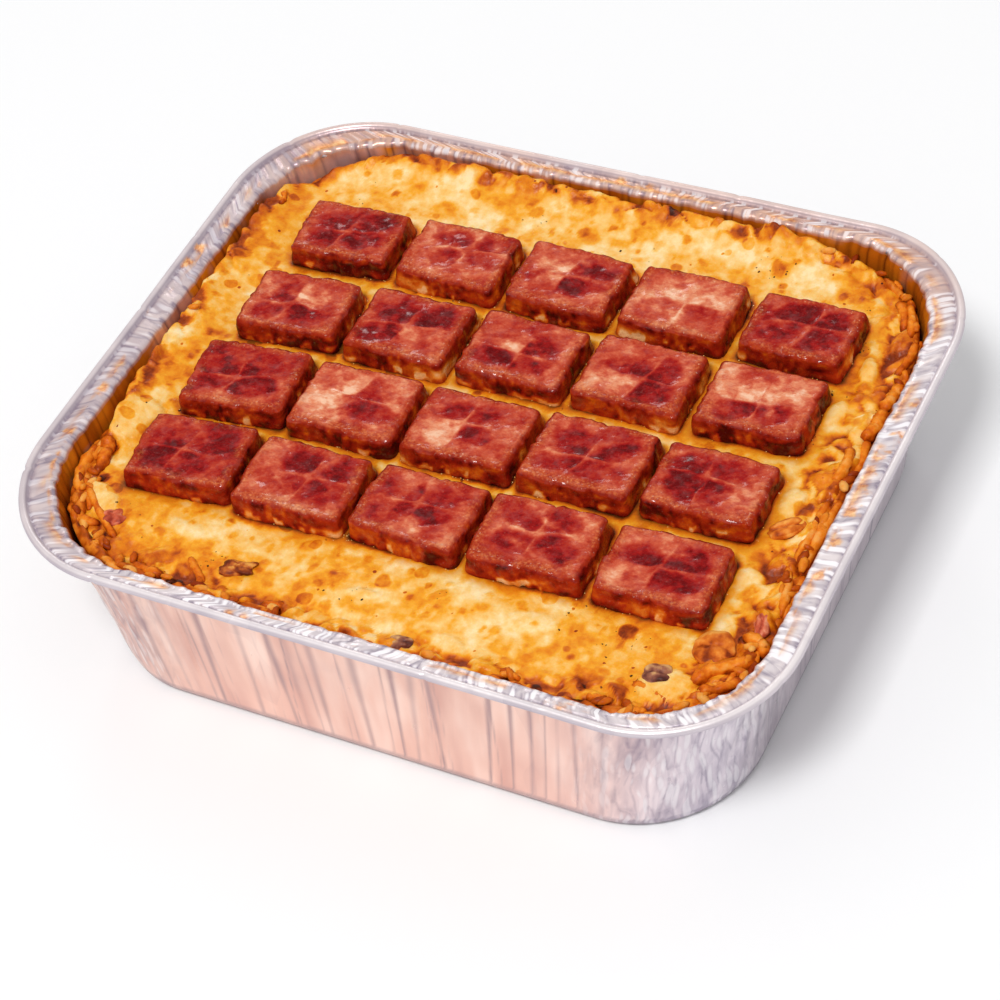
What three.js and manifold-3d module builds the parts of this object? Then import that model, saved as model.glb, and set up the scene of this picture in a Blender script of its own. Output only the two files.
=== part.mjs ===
// A foil tray of baked rice under melted cheese, with twenty seared ham slabs in four rows of five.
// Millimetres, +Z up: the tray stands on z = 0 over the origin, x runs along its long side.
import * as THREE from "three";
import { mergeVertices } from "three/addons/utils/BufferGeometryUtils.js";
import Module from "manifold-3d";

const wasm = await Module();
wasm.setup();

// The tray's outlines are rounded rectangles: round the rolled edge, at the top of the wall, and at the base.
// Their corners' radii run from the back right corner by the left ones to the front right corner.
const RIM = { length: 325, width: 271, corners: [56, 56, 58, 56] };
const WALL_TOP = { length: 299.5, width: 251.5, corners: [51, 54, 54, 46] };
const BASE = { length: 275.6, width: 241.4, corners: [48.7, 48.7, 44.7, 48.7] };
const RIM_HEIGHT = 82;
const ROLL_RADIUS = 1.7;
const WALL_TURN = 2.6;
const FOIL = 0.6;
const BASE_ROUND = 4;
const FLANGE_RIDGE = 0.3;
const PLEAT = { side: 0.45, corner: 0.9 };

// The food's levels above the table, and how far each part of it stays from the tray's wall.
const BED_TOP = 67.6;
const BED_CLEAR = 1.5;
const CHEESE_BOTTOM = BED_TOP + 0.4;
const CHEESE_TOP = 73.2;
const CHEESE_CLIMB = 4.4;
const GAP = 0.35;
const BORDER = { least: 2.6, left: 3, right: 13, front: 6, back: 2.6, frontLeft: 10 };
const STRAND = { width: 3, shortest: 16, longest: 24, sides: 5, steps: 5 };
const GRAIN = { width: 3.2, shortest: 7, longest: 9 };
const STREWN_BORDER = 7;
const STREWN_HEIGHT = BED_TOP + 2.6;

// The slabs stand in rows from the back to the front, each row with its own place, drift and size.
const SLAB_PITCH = 50;
const SLAB_BOTTOM = 71.8;
const SLAB_TOP = 82.6;
const SLAB_ROWS = [
  { y: 70.1, drift: 0.9, shift: 1.3, length: 42, depth: 30 },
  { y: 27.2, drift: 1.8, shift: 0.6, length: 42.4, depth: 31 },
  { y: -17.7, drift: 1.2, shift: -0.5, length: 43.6, depth: 31.8 },
  { y: -61.3, drift: 1, shift: -1.3, length: 43.6, depth: 31 },
];
const SLAB_COLUMNS = 5;
const SLAB_CORNER = 3;
const SLAB_FULLER = 1.6;
const SLAB_SHORTER = 1.2;
const RECESS_CORNER = 2;

const FOIL_LOOK = { color: 0xcfcbd0, roughness: 0.35, metalness: 0.9 };
const RICE_LOOK = { color: 0xe08a2e, roughness: 0.5, metalness: 0 };
const CHEESE_LOOK = { color: 0xf4d58a, roughness: 0.4, metalness: 0 };
const HAM_LOOK = { color: 0x9c3a34, roughness: 0.4, metalness: 0 };
const BROWN_LOOK = { color: 0xa5562a, roughness: 0.5, metalness: 0 };
const MUSHROOM_LOOK = { color: 0x6b5148, roughness: 0.5, metalness: 0 };

const tray = new THREE.Group();

// A repeatable stream of numbers from 0 to 1.
function seeded(seed) {
  let state = seed;
  return () => {
    state = (state + 0x6d2b79f5) | 0;
    let mixed = Math.imul(state ^ (state >>> 15), 1 | state);
    mixed = (mixed + Math.imul(mixed ^ (mixed >>> 7), 61 | mixed)) ^ mixed;
    return ((mixed ^ (mixed >>> 14)) >>> 0) / 4294967296;
  };
}

// A draw from a stream, spread evenly about zero.
function spread(random, reach) {
  return (2 * random() - 1) * reach;
}

// A draw from a stream, spread evenly from a low to a high value.
function between(random, low, high) {
  return low + (high - low) * random();
}

// Stations round a rounded rectangle: the right, back, left and front sides, each with the corner after it.
function stationsAround(perLongSide, perShortSide, perCorner) {
  const stations = [];
  for (let quarter = 0; quarter < 4; quarter += 1) {
    const perSide = quarter % 2 ? perLongSide : perShortSide;
    for (let i = 0; i < perSide; i += 1) {
      stations.push({ quarter, corner: false, along: i / perSide });
    }
    for (let i = 0; i < perCorner; i += 1) {
      stations.push({ quarter, corner: true, along: i / perCorner });
    }
  }
  return stations;
}

// The point of an outline at a station, moved out by an offset, at a height.
function pointAt(outline, station, offset, height) {
  const angle = (station.quarter + (station.corner ? station.along : 0)) * (Math.PI / 2);
  const onCorner = (corner) => {
    const radius = outline.corners[corner];
    const toLeft = corner === 1 || corner === 2 ? -1 : 1;
    const toFront = corner > 1 ? -1 : 1;
    return new THREE.Vector3(
      toLeft * (outline.length / 2 - radius) + (radius + offset) * Math.cos(angle),
      toFront * (outline.width / 2 - radius) + (radius + offset) * Math.sin(angle),
      height,
    );
  };
  const here = onCorner(station.quarter);
  if (station.corner) return here;
  return onCorner((station.quarter + 3) % 4).lerp(here, station.along);
}

// The outline a share of the way from one outline to another.
function outlineBetween(from, to, share) {
  const { lerp } = THREE.MathUtils;
  return {
    length: lerp(from.length, to.length, share),
    width: lerp(from.width, to.width, share),
    corners: from.corners.map((radius, i) => lerp(radius, to.corners[i], share)),
  };
}

// The outline of the tray's wall at a height.
function wallOutline(height) {
  return outlineBetween(BASE, WALL_TOP, height / RIM_HEIGHT);
}

// A closed solid from rings of equal count, listed so that the skin runs from its first pole to its last.
function loft(firstPole, rings, lastPole) {
  const count = rings[0].length;
  const points = [firstPole, ...rings.flat(), lastPole];
  const faces = [];
  for (let j = 0; j < count; j += 1) {
    const next = (j + 1) % count;
    faces.push(0, 1 + next, 1 + j);
    for (let k = 0; k + 1 < rings.length; k += 1) {
      const low = 1 + k * count;
      const high = low + count;
      faces.push(low + j, low + next, high + next, low + j, high + next, high + j);
    }
    const top = 1 + (rings.length - 1) * count;
    faces.push(top + j, top + next, points.length - 1);
  }
  const geometry = new THREE.BufferGeometry().setFromPoints(points);
  geometry.setIndex(faces);
  return geometry;
}

// A geometry as a solid that can be joined and cut.
function solidOf(geometry) {
  const bare = geometry.clone();
  bare.deleteAttribute("normal");
  bare.deleteAttribute("uv");
  const merged = mergeVertices(bare, 1e-4);
  return new wasm.Manifold(
    new wasm.Mesh({
      numProp: 3,
      vertProperties: new Float32Array(merged.attributes.position.array),
      triVerts: new Uint32Array(merged.index.array),
    }),
  );
}

// A solid's largest body as a geometry.
function geometryOf(solid) {
  const bodies = solid.decompose();
  const whole = bodies.reduce((a, b) => (b.volume() > a.volume() ? b : a));
  const mesh = whole.getMesh();
  const geometry = new THREE.BufferGeometry();
  geometry.setAttribute("position", new THREE.BufferAttribute(mesh.vertProperties, 3));
  geometry.setIndex(new THREE.BufferAttribute(mesh.triVerts, 1));
  return geometry;
}

// Adds a named mesh with its own material to the tray's group.
function addPiece(name, geometry, look) {
  geometry.computeVertexNormals();
  const mesh = new THREE.Mesh(geometry, new THREE.MeshStandardMaterial({ ...look, flatShading: true }));
  mesh.name = name;
  tray.add(mesh);
}

// The foil tray: one thin skin from the base's outside, up the wall, round the rolled edge and back down.
function foilTray() {
  const stations = stationsAround(18, 14, 12);
  const random = seeded(5);
  const pleats = stations.map((station, j) => {
    const depth = station.corner ? PLEAT.corner : PLEAT.side;
    return (j % 2 ? -depth : depth) * (0.6 + 0.4 * random());
  });
  const wallRing = (height, inward, share) =>
    stations.map((station, j) =>
      pointAt(wallOutline(height), station, pleats[j] * share - inward, height),
    );
  const ridges = stations.map((station, j) => (j % 2 ? FLANGE_RIDGE : -FLANGE_RIDGE));
  const flangeRing = (out, height, share) =>
    stations.map((station, j) => pointAt(WALL_TOP, station, out, height + ridges[j] * share));
  const rollRing = (inward, height, share) =>
    stations.map((station, j) => pointAt(RIM, station, -inward, height + ridges[j] * share));
  const wallHeights = [BASE_ROUND, RIM_HEIGHT - WALL_TURN];
  const rings = [
    wallRing(0, BASE_ROUND, 0),
    wallRing(BASE_ROUND * 0.3, BASE_ROUND * 0.3, 0.2),
    ...wallHeights.map((height) => wallRing(height, 0, 1)),
    flangeRing(WALL_TURN * 0.4, RIM_HEIGHT - WALL_TURN * 0.25 - FOIL, 0.5),
    flangeRing(WALL_TURN, RIM_HEIGHT - FOIL, 1),
    rollRing(2 * ROLL_RADIUS, RIM_HEIGHT - FOIL, 1),
    rollRing(ROLL_RADIUS, RIM_HEIGHT - ROLL_RADIUS, 0),
    rollRing(0, RIM_HEIGHT, 0),
    rollRing(ROLL_RADIUS, RIM_HEIGHT + ROLL_RADIUS, 0),
    rollRing(2 * ROLL_RADIUS, RIM_HEIGHT, 1),
    flangeRing(WALL_TURN, RIM_HEIGHT, 1),
    flangeRing(WALL_TURN * 0.3, RIM_HEIGHT - WALL_TURN * 0.25, 0.5),
    ...wallHeights.reverse().map((height) => wallRing(height, FOIL, 1)),
    wallRing(BASE_ROUND * 0.3 + FOIL, BASE_ROUND * 0.3 + FOIL, 0.2),
    wallRing(FOIL, BASE_ROUND + FOIL * 0.5, 0),
  ];
  return loft(new THREE.Vector3(0, 0, 0), rings, new THREE.Vector3(0, 0, FOIL));
}

// How far the cheese's uneven edge stays from the wall at a point round the tray.
function borderWidth(point, index) {
  const towardsRight = THREE.MathUtils.smoothstep(point.x, 60, 140);
  const towardsLeft = THREE.MathUtils.smoothstep(-point.x, 90, 140);
  const inFrontLeft = THREE.MathUtils.smoothstep(-point.x - point.y, 170, 225);
  const alongY = point.y > 0 ? BORDER.back : BORDER.front;
  const sides = alongY + (BORDER.right - alongY) * towardsRight + (BORDER.left - alongY) * towardsLeft;
  const steady = sides + (BORDER.frontLeft - sides) * inFrontLeft;
  const lobes = 0.5 + 0.5 * Math.sin(index * 1.3) * Math.cos(index * 0.37);
  return Math.max(steady * (0.65 + 0.7 * lobes), BORDER.least);
}

const foodStations = stationsAround(16, 12, 6);
const borders = foodStations.map((station, j) =>
  borderWidth(pointAt(wallOutline(CHEESE_TOP), station, 0, 0), j),
);

// The height of the melted surface: long waves with shorter ones across them. It climbs the wall along the
// back and along the back half of the left side.
function cheeseHeight(x, y) {
  const { smoothstep } = THREE.MathUtils;
  const waves = 0.45 * Math.sin(x / 19 + 1) * Math.cos(y / 15) + 0.3 * Math.sin(x / 8 + y / 11);
  const atBack = smoothstep(y, 98, 123) * smoothstep(x, -115, -75) * (1 - smoothstep(x, 70, 105));
  const atLeft = smoothstep(-x, 124, 147) * smoothstep(y, -40, 10) * (1 - smoothstep(y, 70, 92));
  return CHEESE_TOP + waves + CHEESE_CLIMB * Math.max(atBack, atLeft);
}

// The cheese before its recesses: a layer with a lobed, rounded edge and a waved top.
function cheeseLayer(grow) {
  const edge = (inward, height) =>
    foodStations.map((station, j) =>
      pointAt(wallOutline(CHEESE_TOP), station, grow - FOIL - borders[j] - inward, height),
    );
  const onSurface = (points, drop) =>
    points.map((point) => point.setZ(cheeseHeight(point.x, point.y) - drop + grow));
  const rings = [
    edge(0.6, CHEESE_BOTTOM - grow),
    edge(0, CHEESE_BOTTOM + 2.2),
    onSurface(edge(1.1, 0), 1),
    onSurface(edge(4, 0), 0),
    ...[0.85, 0.5].map((share) => onSurface(edge(4, 0).map((point) => point.multiplyScalar(share)), 0)),
  ];
  const top = new THREE.Vector3(0, 0, cheeseHeight(0, 0) + grow);
  return loft(new THREE.Vector3(0, 0, CHEESE_BOTTOM - grow), rings, top);
}

// The bed's core: it fills the tray, and holds the cheese in a shallow basin inside an uneven border.
function bedCore() {
  const random = seeded(23);
  const ring = (outlineHeight, inward, height) =>
    foodStations.map((station) =>
      pointAt(wallOutline(outlineHeight), station, -inward - FOIL, height),
    );
  const lip = foodStations.map((station, j) => {
    const raised = THREE.MathUtils.clamp(borders[j] / BORDER.right, 0.1, 1);
    return BED_TOP + 0.6 + 2.4 * raised + spread(random, 0.5);
  });
  const basin = (inward, heights) =>
    foodStations.map((station, j) =>
      pointAt(wallOutline(CHEESE_TOP), station, inward - FOIL - borders[j], heights[j]),
    );
  const rings = [
    ring(0, BASE_ROUND + BED_CLEAR, FOIL + GAP),
    ring(BASE_ROUND, BED_CLEAR, BASE_ROUND + BED_CLEAR),
    foodStations.map((station, j) =>
      pointAt(wallOutline(BED_TOP), station, -BED_CLEAR - FOIL, lip[j] - 1),
    ),
    basin(GAP + 0.3, lip),
    basin(GAP, foodStations.map(() => BED_TOP)),
  ];
  return loft(new THREE.Vector3(0, 0, FOIL + GAP), rings, new THREE.Vector3(0, 0, BED_TOP));
}

// One swollen grain of rice: a long octahedral bead, turned in plan and tipped a little.
function grain(place, turn, tip, length, width) {
  const bead = new THREE.OctahedronGeometry(1, 1);
  bead.scale(length / 2, width / 2, width / 2.2);
  bead.rotateY(tip);
  bead.rotateZ(turn);
  bead.translate(place.x, place.y, place.z);
  return bead;
}

// One strand: a five-sided cord on a bent path that lies along a heading and dips at both ends.
function strand(place, heading, length, width, bend) {
  const along = new THREE.Vector3(Math.cos(heading), Math.sin(heading), 0);
  const across = new THREE.Vector3(-along.y, along.x, 0);
  const path = new THREE.CatmullRomCurve3(
    [-0.5, -0.2, 0.2, 0.5].map((part) =>
      place
        .clone()
        .addScaledVector(along, part * length)
        .addScaledVector(across, bend * (4 * part * part - 0.5))
        .add(new THREE.Vector3(0, 0, -1.6 * Math.abs(part))),
    ),
  );
  const section = new THREE.Shape(
    Array.from({ length: STRAND.sides }, (_, side) => {
      const angle = (side / STRAND.sides) * 2 * Math.PI;
      return new THREE.Vector2(Math.cos(angle) * (width / 2), Math.sin(angle) * (width / 2));
    }),
  );
  const options = { steps: STRAND.steps, bevelEnabled: false, extrudePath: path };
  return new THREE.ExtrudeGeometry(section, options);
}

// The bed of rice: its core with strands and grains fused on where the border shows.
function riceBed(traySolid, cheeseRoom, toppingSolids) {
  const random = seeded(41);
  let bed = solidOf(bedCore());
  for (const toppingSolid of toppingSolids) bed = bed.subtract(toppingSolid);
  const obstacles = [traySolid, cheeseRoom, ...toppingSolids];
  const isClear = (solid) => obstacles.every((other) => solid.intersect(other).volume() < 1e-3);
  const onBorder = (j, share) => {
    const inward = THREE.MathUtils.lerp(BED_CLEAR, borders[j], share);
    return pointAt(wallOutline(CHEESE_TOP), foodStations[j], -FOIL - inward, STREWN_HEIGHT);
  };
  const headingAt = (j) => {
    const next = onBorder((j + 1) % foodStations.length, 0.5).sub(onBorder(j, 0.5));
    return Math.atan2(next.y, next.x);
  };
  const strandAt = (j) => {
    const place = onBorder(j, 0.45 + spread(random, 0.15));
    const heading = headingAt(j) + spread(random, 0.25);
    const length = between(random, STRAND.shortest, STRAND.longest);
    return strand(place, heading, length, STRAND.width, spread(random, 1.5));
  };
  const grainAt = (j, share) => {
    const place = onBorder(j, share + spread(random, 0.1));
    const length = between(random, GRAIN.shortest, GRAIN.longest);
    return grain(place, Math.PI * random(), spread(random, 0.4), length, GRAIN.width);
  };
  foodStations.forEach((_, j) => {
    if (borders[j] < STREWN_BORDER) return;
    const pieces = j % 2 ? [strandAt(j)] : [grainAt(j, 0.3), grainAt(j, 0.75)];
    for (const piece of pieces.map(solidOf)) {
      if (isClear(piece)) bed = bed.add(piece);
    }
  });
  return bed;
}

// A slab's outline: a leaning rectangle with cut corners and a slight swell along its long sides.
function slabOutline(slab, inset) {
  const halfX = slab.length / 2 - inset;
  const halfY = slab.depth / 2 - inset;
  const quarter = [
    [halfX + slab.swell / 2, 0],
    [halfX, halfY - SLAB_CORNER],
    [halfX - SLAB_CORNER, halfY],
    [halfX * 0.35, halfY + slab.swell],
  ];
  const mirrored = [
    ...quarter,
    ...quarter.slice(1).reverse().map(([x, y]) => [-x, y]),
    ...quarter.map(([x, y]) => [-x, -y]),
    ...quarter.slice(1).reverse().map(([x, y]) => [x, -y]),
  ];
  return mirrored.map(([x, y]) => [x - Math.tan(slab.lean) * y, y]);
}

// The recess that a slab sinks into the cheese: its widest outline with plain corners and a gap round it.
function slabRecess(slab) {
  const halfX = slab.length / 2 + slab.swell / 2 + GAP;
  const halfY = slab.depth / 2 + slab.swell + GAP;
  const quarter = [
    [halfX, halfY - RECESS_CORNER],
    [halfX - RECESS_CORNER, halfY],
  ];
  const around = [
    ...quarter,
    ...quarter.map(([x, y]) => [-x, y]).reverse(),
    ...quarter.map(([x, y]) => [-x, -y]),
    ...quarter.map(([x, y]) => [x, -y]).reverse(),
  ].map(([x, y]) => new THREE.Vector2(x - Math.tan(slab.lean) * y, y));
  const depth = CHEESE_TOP + 3 - SLAB_BOTTOM;
  const recess = new THREE.ExtrudeGeometry(new THREE.Shape(around), { depth, bevelEnabled: false });
  recess.rotateZ(slab.turn);
  recess.translate(slab.x, slab.y, SLAB_BOTTOM - GAP);
  return recess;
}

// One slab of ham: rounded at both faces, fullest below its middle, with a shallow dip round a raised cross.
function slabGeometry(slab) {
  const ring = (inset, height, wave) =>
    slabOutline(slab, inset).map(([x, y], j) => {
      const uneven = wave * Math.sin(j * 1.9 + slab.phase);
      return new THREE.Vector3(x, y, height + uneven);
    });
  const centre = new THREE.Vector3(0, 0, SLAB_TOP);
  const dip = ring(slab.depth * 0.27, SLAB_TOP - 0.7, 0.25);
  const rings = [
    ring(1.2, SLAB_BOTTOM, 0),
    ring(0, SLAB_BOTTOM + 4, 0),
    ring(0.5, SLAB_TOP - 1.4, 0),
    ring(1.9, SLAB_TOP - 0.2, 0.2),
    dip,
  ];
  const geometry = loft(new THREE.Vector3(0, 0, SLAB_BOTTOM), rings, centre);
  geometry.rotateZ(slab.turn);
  geometry.translate(slab.x, slab.y, 0);
  return geometry;
}

// The twenty slabs, each a little different in size, turn and lean.
function slabList() {
  const random = seeded(3);
  return SLAB_ROWS.flatMap((row, r) =>
    Array.from({ length: SLAB_COLUMNS }, (_, c) => {
      const step = c - (SLAB_COLUMNS - 1) / 2;
      const shorter = Math.abs(step) > 1 ? SLAB_SHORTER : 0;
      return {
        name: `ham_slab_r${r + 1}c${c + 1}`,
        x: row.shift + step * SLAB_PITCH,
        y: row.y + step * row.drift,
        length: row.length + SLAB_FULLER - shorter + spread(random, 0.5),
        depth: row.depth + SLAB_FULLER - shorter + spread(random, 0.5),
        swell: 0.5 + 0.4 * random(),
        turn: THREE.MathUtils.degToRad(0.7 + spread(random, 0.8)),
        lean: THREE.MathUtils.degToRad(c === 0 ? -3 : spread(random, 1.5)),
        phase: random() * 6,
      };
    }),
  );
}

// A soft lump: a ball pressed to its three sizes, with a few broad dents.
function lumpGeometry(lump, grow) {
  const ball = new THREE.IcosahedronGeometry(1, 1);
  const position = ball.attributes.position;
  for (let i = 0; i < position.count; i += 1) {
    const point = new THREE.Vector3().fromBufferAttribute(position, i);
    const dent = 1 + 0.12 * Math.sin(3 * point.x + lump.phase) * Math.cos(4 * point.y - lump.phase);
    point.multiplyScalar(dent);
    position.setXYZ(i, point.x, point.y, point.z);
  }
  ball.scale(lump.size[0] / 2 + grow, lump.size[1] / 2 + grow, lump.size[2] / 2 + grow);
  ball.rotateZ(lump.turn);
  ball.translate(lump.x, lump.y, CHEESE_TOP + lump.rise);
  return ball;
}

// The larger bits that show in the cheese: ham, mushroom and browned scraps.
const LUMPS = [
  { name: "browned_flake", x: -58, y: -105, size: [12.5, 8, 3.4], turn: 0.2, rise: 0.4, look: BROWN_LOOK },
  { name: "ham_bit_left", x: -118, y: -98.5, size: [9, 8, 5], turn: 0.5, rise: 0.5, look: HAM_LOOK },
  { name: "ham_piece_front", x: 128, y: -81.5, size: [16, 15, 6], turn: 0.35, rise: 0.5, look: BROWN_LOOK },
  { name: "mushroom_front", x: 114, y: -99.5, size: [12, 9, 5], turn: 0.35, rise: 0.7, look: MUSHROOM_LOOK },
  { name: "mushroom_middle", x: 18, y: -117, size: [11, 6.4, 4], turn: 0.25, rise: 0.2, look: MUSHROOM_LOOK },
  { name: "brown_bit_right", x: 140.5, y: -66, size: [11, 5.5, 5], turn: -1.2, rise: 0, look: MUSHROOM_LOOK },
  { name: "crisp_curl", x: 131.5, y: -20.5, size: [17, 8.5, 5], turn: 0.75, rise: 0.9, look: BROWN_LOOK },
].map((lump, i) => ({ ...lump, phase: 1.7 * i }));

const slabs = slabList();
const trayGeometry = foilTray();
const lumpSolids = LUMPS.map((lump) => solidOf(lumpGeometry(lump, GAP)));

let cheese = solidOf(cheeseLayer(0));
for (const slab of slabs) cheese = cheese.subtract(solidOf(slabRecess(slab)));
for (const lumpSolid of lumpSolids) cheese = cheese.subtract(lumpSolid);

const cheeseRoom = solidOf(cheeseLayer(GAP));
const bed = riceBed(solidOf(trayGeometry), cheeseRoom, lumpSolids);

addPiece("foil_tray", trayGeometry, FOIL_LOOK);
addPiece("rice_bed", geometryOf(bed), RICE_LOOK);
addPiece("cheese_crust", geometryOf(cheese), CHEESE_LOOK);
for (const slab of slabs) addPiece(slab.name, slabGeometry(slab), HAM_LOOK);
for (const lump of LUMPS) addPiece(lump.name, lumpGeometry(lump, 0), lump.look);

export default tray;
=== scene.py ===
# A foil tray of baked rice under browned cheese, with twenty seared ham slabs in four rows of five.
import math
from types import SimpleNamespace

import bpy
import numpy as np
from mathutils import Matrix, Vector


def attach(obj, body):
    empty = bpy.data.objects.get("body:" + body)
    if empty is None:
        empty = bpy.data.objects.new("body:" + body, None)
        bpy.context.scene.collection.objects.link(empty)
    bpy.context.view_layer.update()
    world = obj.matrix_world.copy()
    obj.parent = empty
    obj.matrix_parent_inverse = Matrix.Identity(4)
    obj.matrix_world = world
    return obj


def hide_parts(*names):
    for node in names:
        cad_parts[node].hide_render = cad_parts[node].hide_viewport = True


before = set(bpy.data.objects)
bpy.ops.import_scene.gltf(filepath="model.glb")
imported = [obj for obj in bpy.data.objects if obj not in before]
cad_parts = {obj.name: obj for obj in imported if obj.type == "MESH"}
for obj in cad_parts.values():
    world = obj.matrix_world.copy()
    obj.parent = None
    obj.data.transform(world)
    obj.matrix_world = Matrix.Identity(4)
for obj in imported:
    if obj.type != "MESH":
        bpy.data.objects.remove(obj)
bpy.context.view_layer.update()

# The view of the dish: a camera about a metre off looks down over the tray's front and right sides, tipped a
# little to the left. The tray stands on a pale table in an evenly lit white room, under one soft light from
# above and in front, and a faint one from behind that picks out the edges.
VIEW = {"azimuth": 0.5997, "elevation": 0.8184, "roll": -0.2046, "distance": 1.05328}
LENS = 100.82
LOOKED_AT = Vector((0.0273, -0.0482, 0.0819))
TABLE_SIZE = 12.0
TABLE_DROP = 0.0002
TABLE_COLOUR = (0.945, 0.945, 0.95, 1)
ROOM_LIGHT = 0.57
SOFT_LIGHTS = (
    {"name": "front_light", "place": (0.2, -1.6, 3.2), "size": 0.8, "power": 72.0},
    {"name": "back_light", "place": (-0.75, 1.3, 0.95), "size": 0.35, "power": 1.6},
)


def add_object(name, data):
    """An object in the scene that shows a camera, a light or a mesh."""
    made = bpy.data.objects.new(name, data)
    bpy.context.scene.collection.objects.link(made)
    return made


def camera_matrix(azimuth, elevation, roll, distance):
    """The camera's own right, up and back as columns: back points to it from the place that it looks at, and
    right and up are turned about back by the roll."""
    back = Vector((math.sin(azimuth), -math.cos(azimuth), 0)) * math.cos(elevation)
    back.z = math.sin(elevation)
    level = (-back).cross(Vector((0, 0, 1))).normalized()
    upright = level.cross(-back)
    right = math.cos(roll) * level + math.sin(roll) * upright
    up = math.cos(roll) * upright - math.sin(roll) * level
    turned_axes = Matrix((right, up, back)).transposed().to_4x4()
    return Matrix.Translation(LOOKED_AT + back * distance) @ turned_axes


camera = add_object("camera", bpy.data.cameras.new("camera"))
camera.data.lens = LENS
camera.data.sensor_width = 36
camera.matrix_world = camera_matrix(**VIEW)
bpy.context.scene.camera = camera
bpy.context.scene.view_settings.view_transform = "Standard"

world = bpy.data.worlds.new("studio")
world.use_nodes = True
world.node_tree.nodes["Background"].inputs["Color"].default_value = (1, 1, 1, 1)
world.node_tree.nodes["Background"].inputs["Strength"].default_value = ROOM_LIGHT
bpy.context.scene.world = world

for light in SOFT_LIGHTS:
    panel = add_object(light["name"], bpy.data.lights.new(light["name"], "AREA"))
    panel.data.energy = light["power"]
    panel.data.size = light["size"]
    panel.location = light["place"]
    panel.rotation_euler = (LOOKED_AT - Vector(light["place"])).to_track_quat("-Z", "Y").to_euler()

half_table = TABLE_SIZE / 2
table_mesh = bpy.data.meshes.new("table")
table_ways = ((-1, -1), (1, -1), (1, 1), (-1, 1))
table_corners = [(x * half_table, y * half_table, -TABLE_DROP) for x, y in table_ways]
table_mesh.from_pydata(table_corners, [], [(0, 1, 2, 3)])
table = add_object("table", table_mesh)
table_finish = bpy.data.materials.new("pale_table")
table_finish.use_nodes = True
table_finish.node_tree.nodes["Principled BSDF"].inputs["Base Color"].default_value = TABLE_COLOUR
table_finish.node_tree.nodes["Principled BSDF"].inputs["Roughness"].default_value = 0.7
table_mesh.materials.append(table_finish)

# The foil tray is one pressed sheet of aluminium: a flat base, leaning walls in pleats, a flange round the top
# and a rolled bead at its edge. Its section is carried round the outline, first up its outside, round the bead
# and then down its inside. Each outline is a rounded rectangle: its length, its width, and the radii of its
# back right, back left, front left and front right corners, in millimetres. Sauce has boiled over on to the
# flange in small smears, at the places given.
MM = 0.001
RIM = np.array([325, 271, 56, 56, 58, 56.0])
WALL_TOP = np.array([299.5, 251.5, 51, 54, 54, 46.0])
BASE = np.array([275.6, 241.4, 48.7, 48.7, 44.7, 48.7])
RIM_HEIGHT = 82
ROLL = 1.7
WALL_TURN = 2.6
FOIL = 0.6
BASE_ROUND = 4
FOIL_PITCH = 0.78
INNER_DEPTH = 60
INNER_SLACK = 1.2
UNDER_BASE, OUTSIDE, UNDER_FLANGE, BEAD, FLANGE, INSIDE, HIDDEN = range(7)
SMEAR_SIZE = 3.4
SMEARS = np.array([
    (-153, -44), (-152, -70), (-150, -83), (-158, 31), (-157, 41), (156, 46), (157, 30), (154, 17), (153, 9),
    (154, 0), (153, -13), (153.5, -27), (154, -44), (117, 124), (11, 130), (-2, 129), (72, 122), (84, 123.5),
    (-45, -132), (-40, -132), (90, -130)])


def cloud(x, y, size, seed, layers=2, turn=None):
    """Soft unevenness between about -1 and 1: random numbers on a square lattice of that size, blended between
    its corners by 3t^2 - 2t^3. Each further layer has half the size and half the height. Where x runs round a
    closed turn, the lattice fits it a whole number of times."""
    total = np.zeros(np.broadcast(x, y).shape)
    height = 1.0
    for layer in range(layers):
        lattice = np.random.default_rng(seed * 10 + layer).uniform(-1, 1, (1024, 128))
        across = 512 if turn is None else max(int(round(turn / size)), 2)
        step = size if turn is None else turn / across
        u = x / step + (0 if turn else 211.7)
        v = y / size + 47.3
        i = np.floor(u).astype(int)
        j = np.floor(v).astype(int)
        s = (u - i) ** 2 * (3 - 2 * (u - i))
        t = (v - j) ** 2 * (3 - 2 * (v - j))
        near = lattice[i % across, j % 128] * (1 - s) + lattice[(i + 1) % across, j % 128] * s
        far = lattice[i % across, (j + 1) % 128] * (1 - s) + lattice[(i + 1) % across, (j + 1) % 128] * s
        total = total + height * (near * (1 - t) + far * t)
        size = size / 2
        height = height / 2
    return total


def rise(value, low, high):
    """0 below low, 1 above high, and 3t^2 - 2t^3 between them."""
    t = np.clip((value - low) / (high - low), 0, 1)
    return t * t * (3 - 2 * t)


def fall(value, low, high):
    """1 below low, 0 above high, and as softly between them."""
    return 1 - rise(value, low, high)


def bell(value, width):
    """exp(-(value / width)^2)."""
    return np.exp(-((value / width) ** 2))


def stations_round(shape, pitch):
    """Places all the way round a rounded rectangle, about a pitch apart. Each has its quarter, whether it is
    on the corner after that quarter's side, its share of the side or corner, and its way from the start."""
    quarters, corners, shares, runs = [], [], [], []
    for q in range(4):
        side = shape[1 - q % 2] - shape[2 + (q + 3) % 4] - shape[2 + q]
        for on_corner, run in ((0, side), (1, shape[2 + q] * math.pi / 2)):
            count = int(round(run / pitch))
            quarters.append(np.full(count, q))
            corners.append(np.full(count, on_corner))
            shares.append(np.arange(count) / count)
            runs.append(np.full(count, run / count))
    run = np.concatenate(runs)
    return np.concatenate(quarters), np.concatenate(corners), np.concatenate(shares), np.cumsum(run) - run


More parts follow.
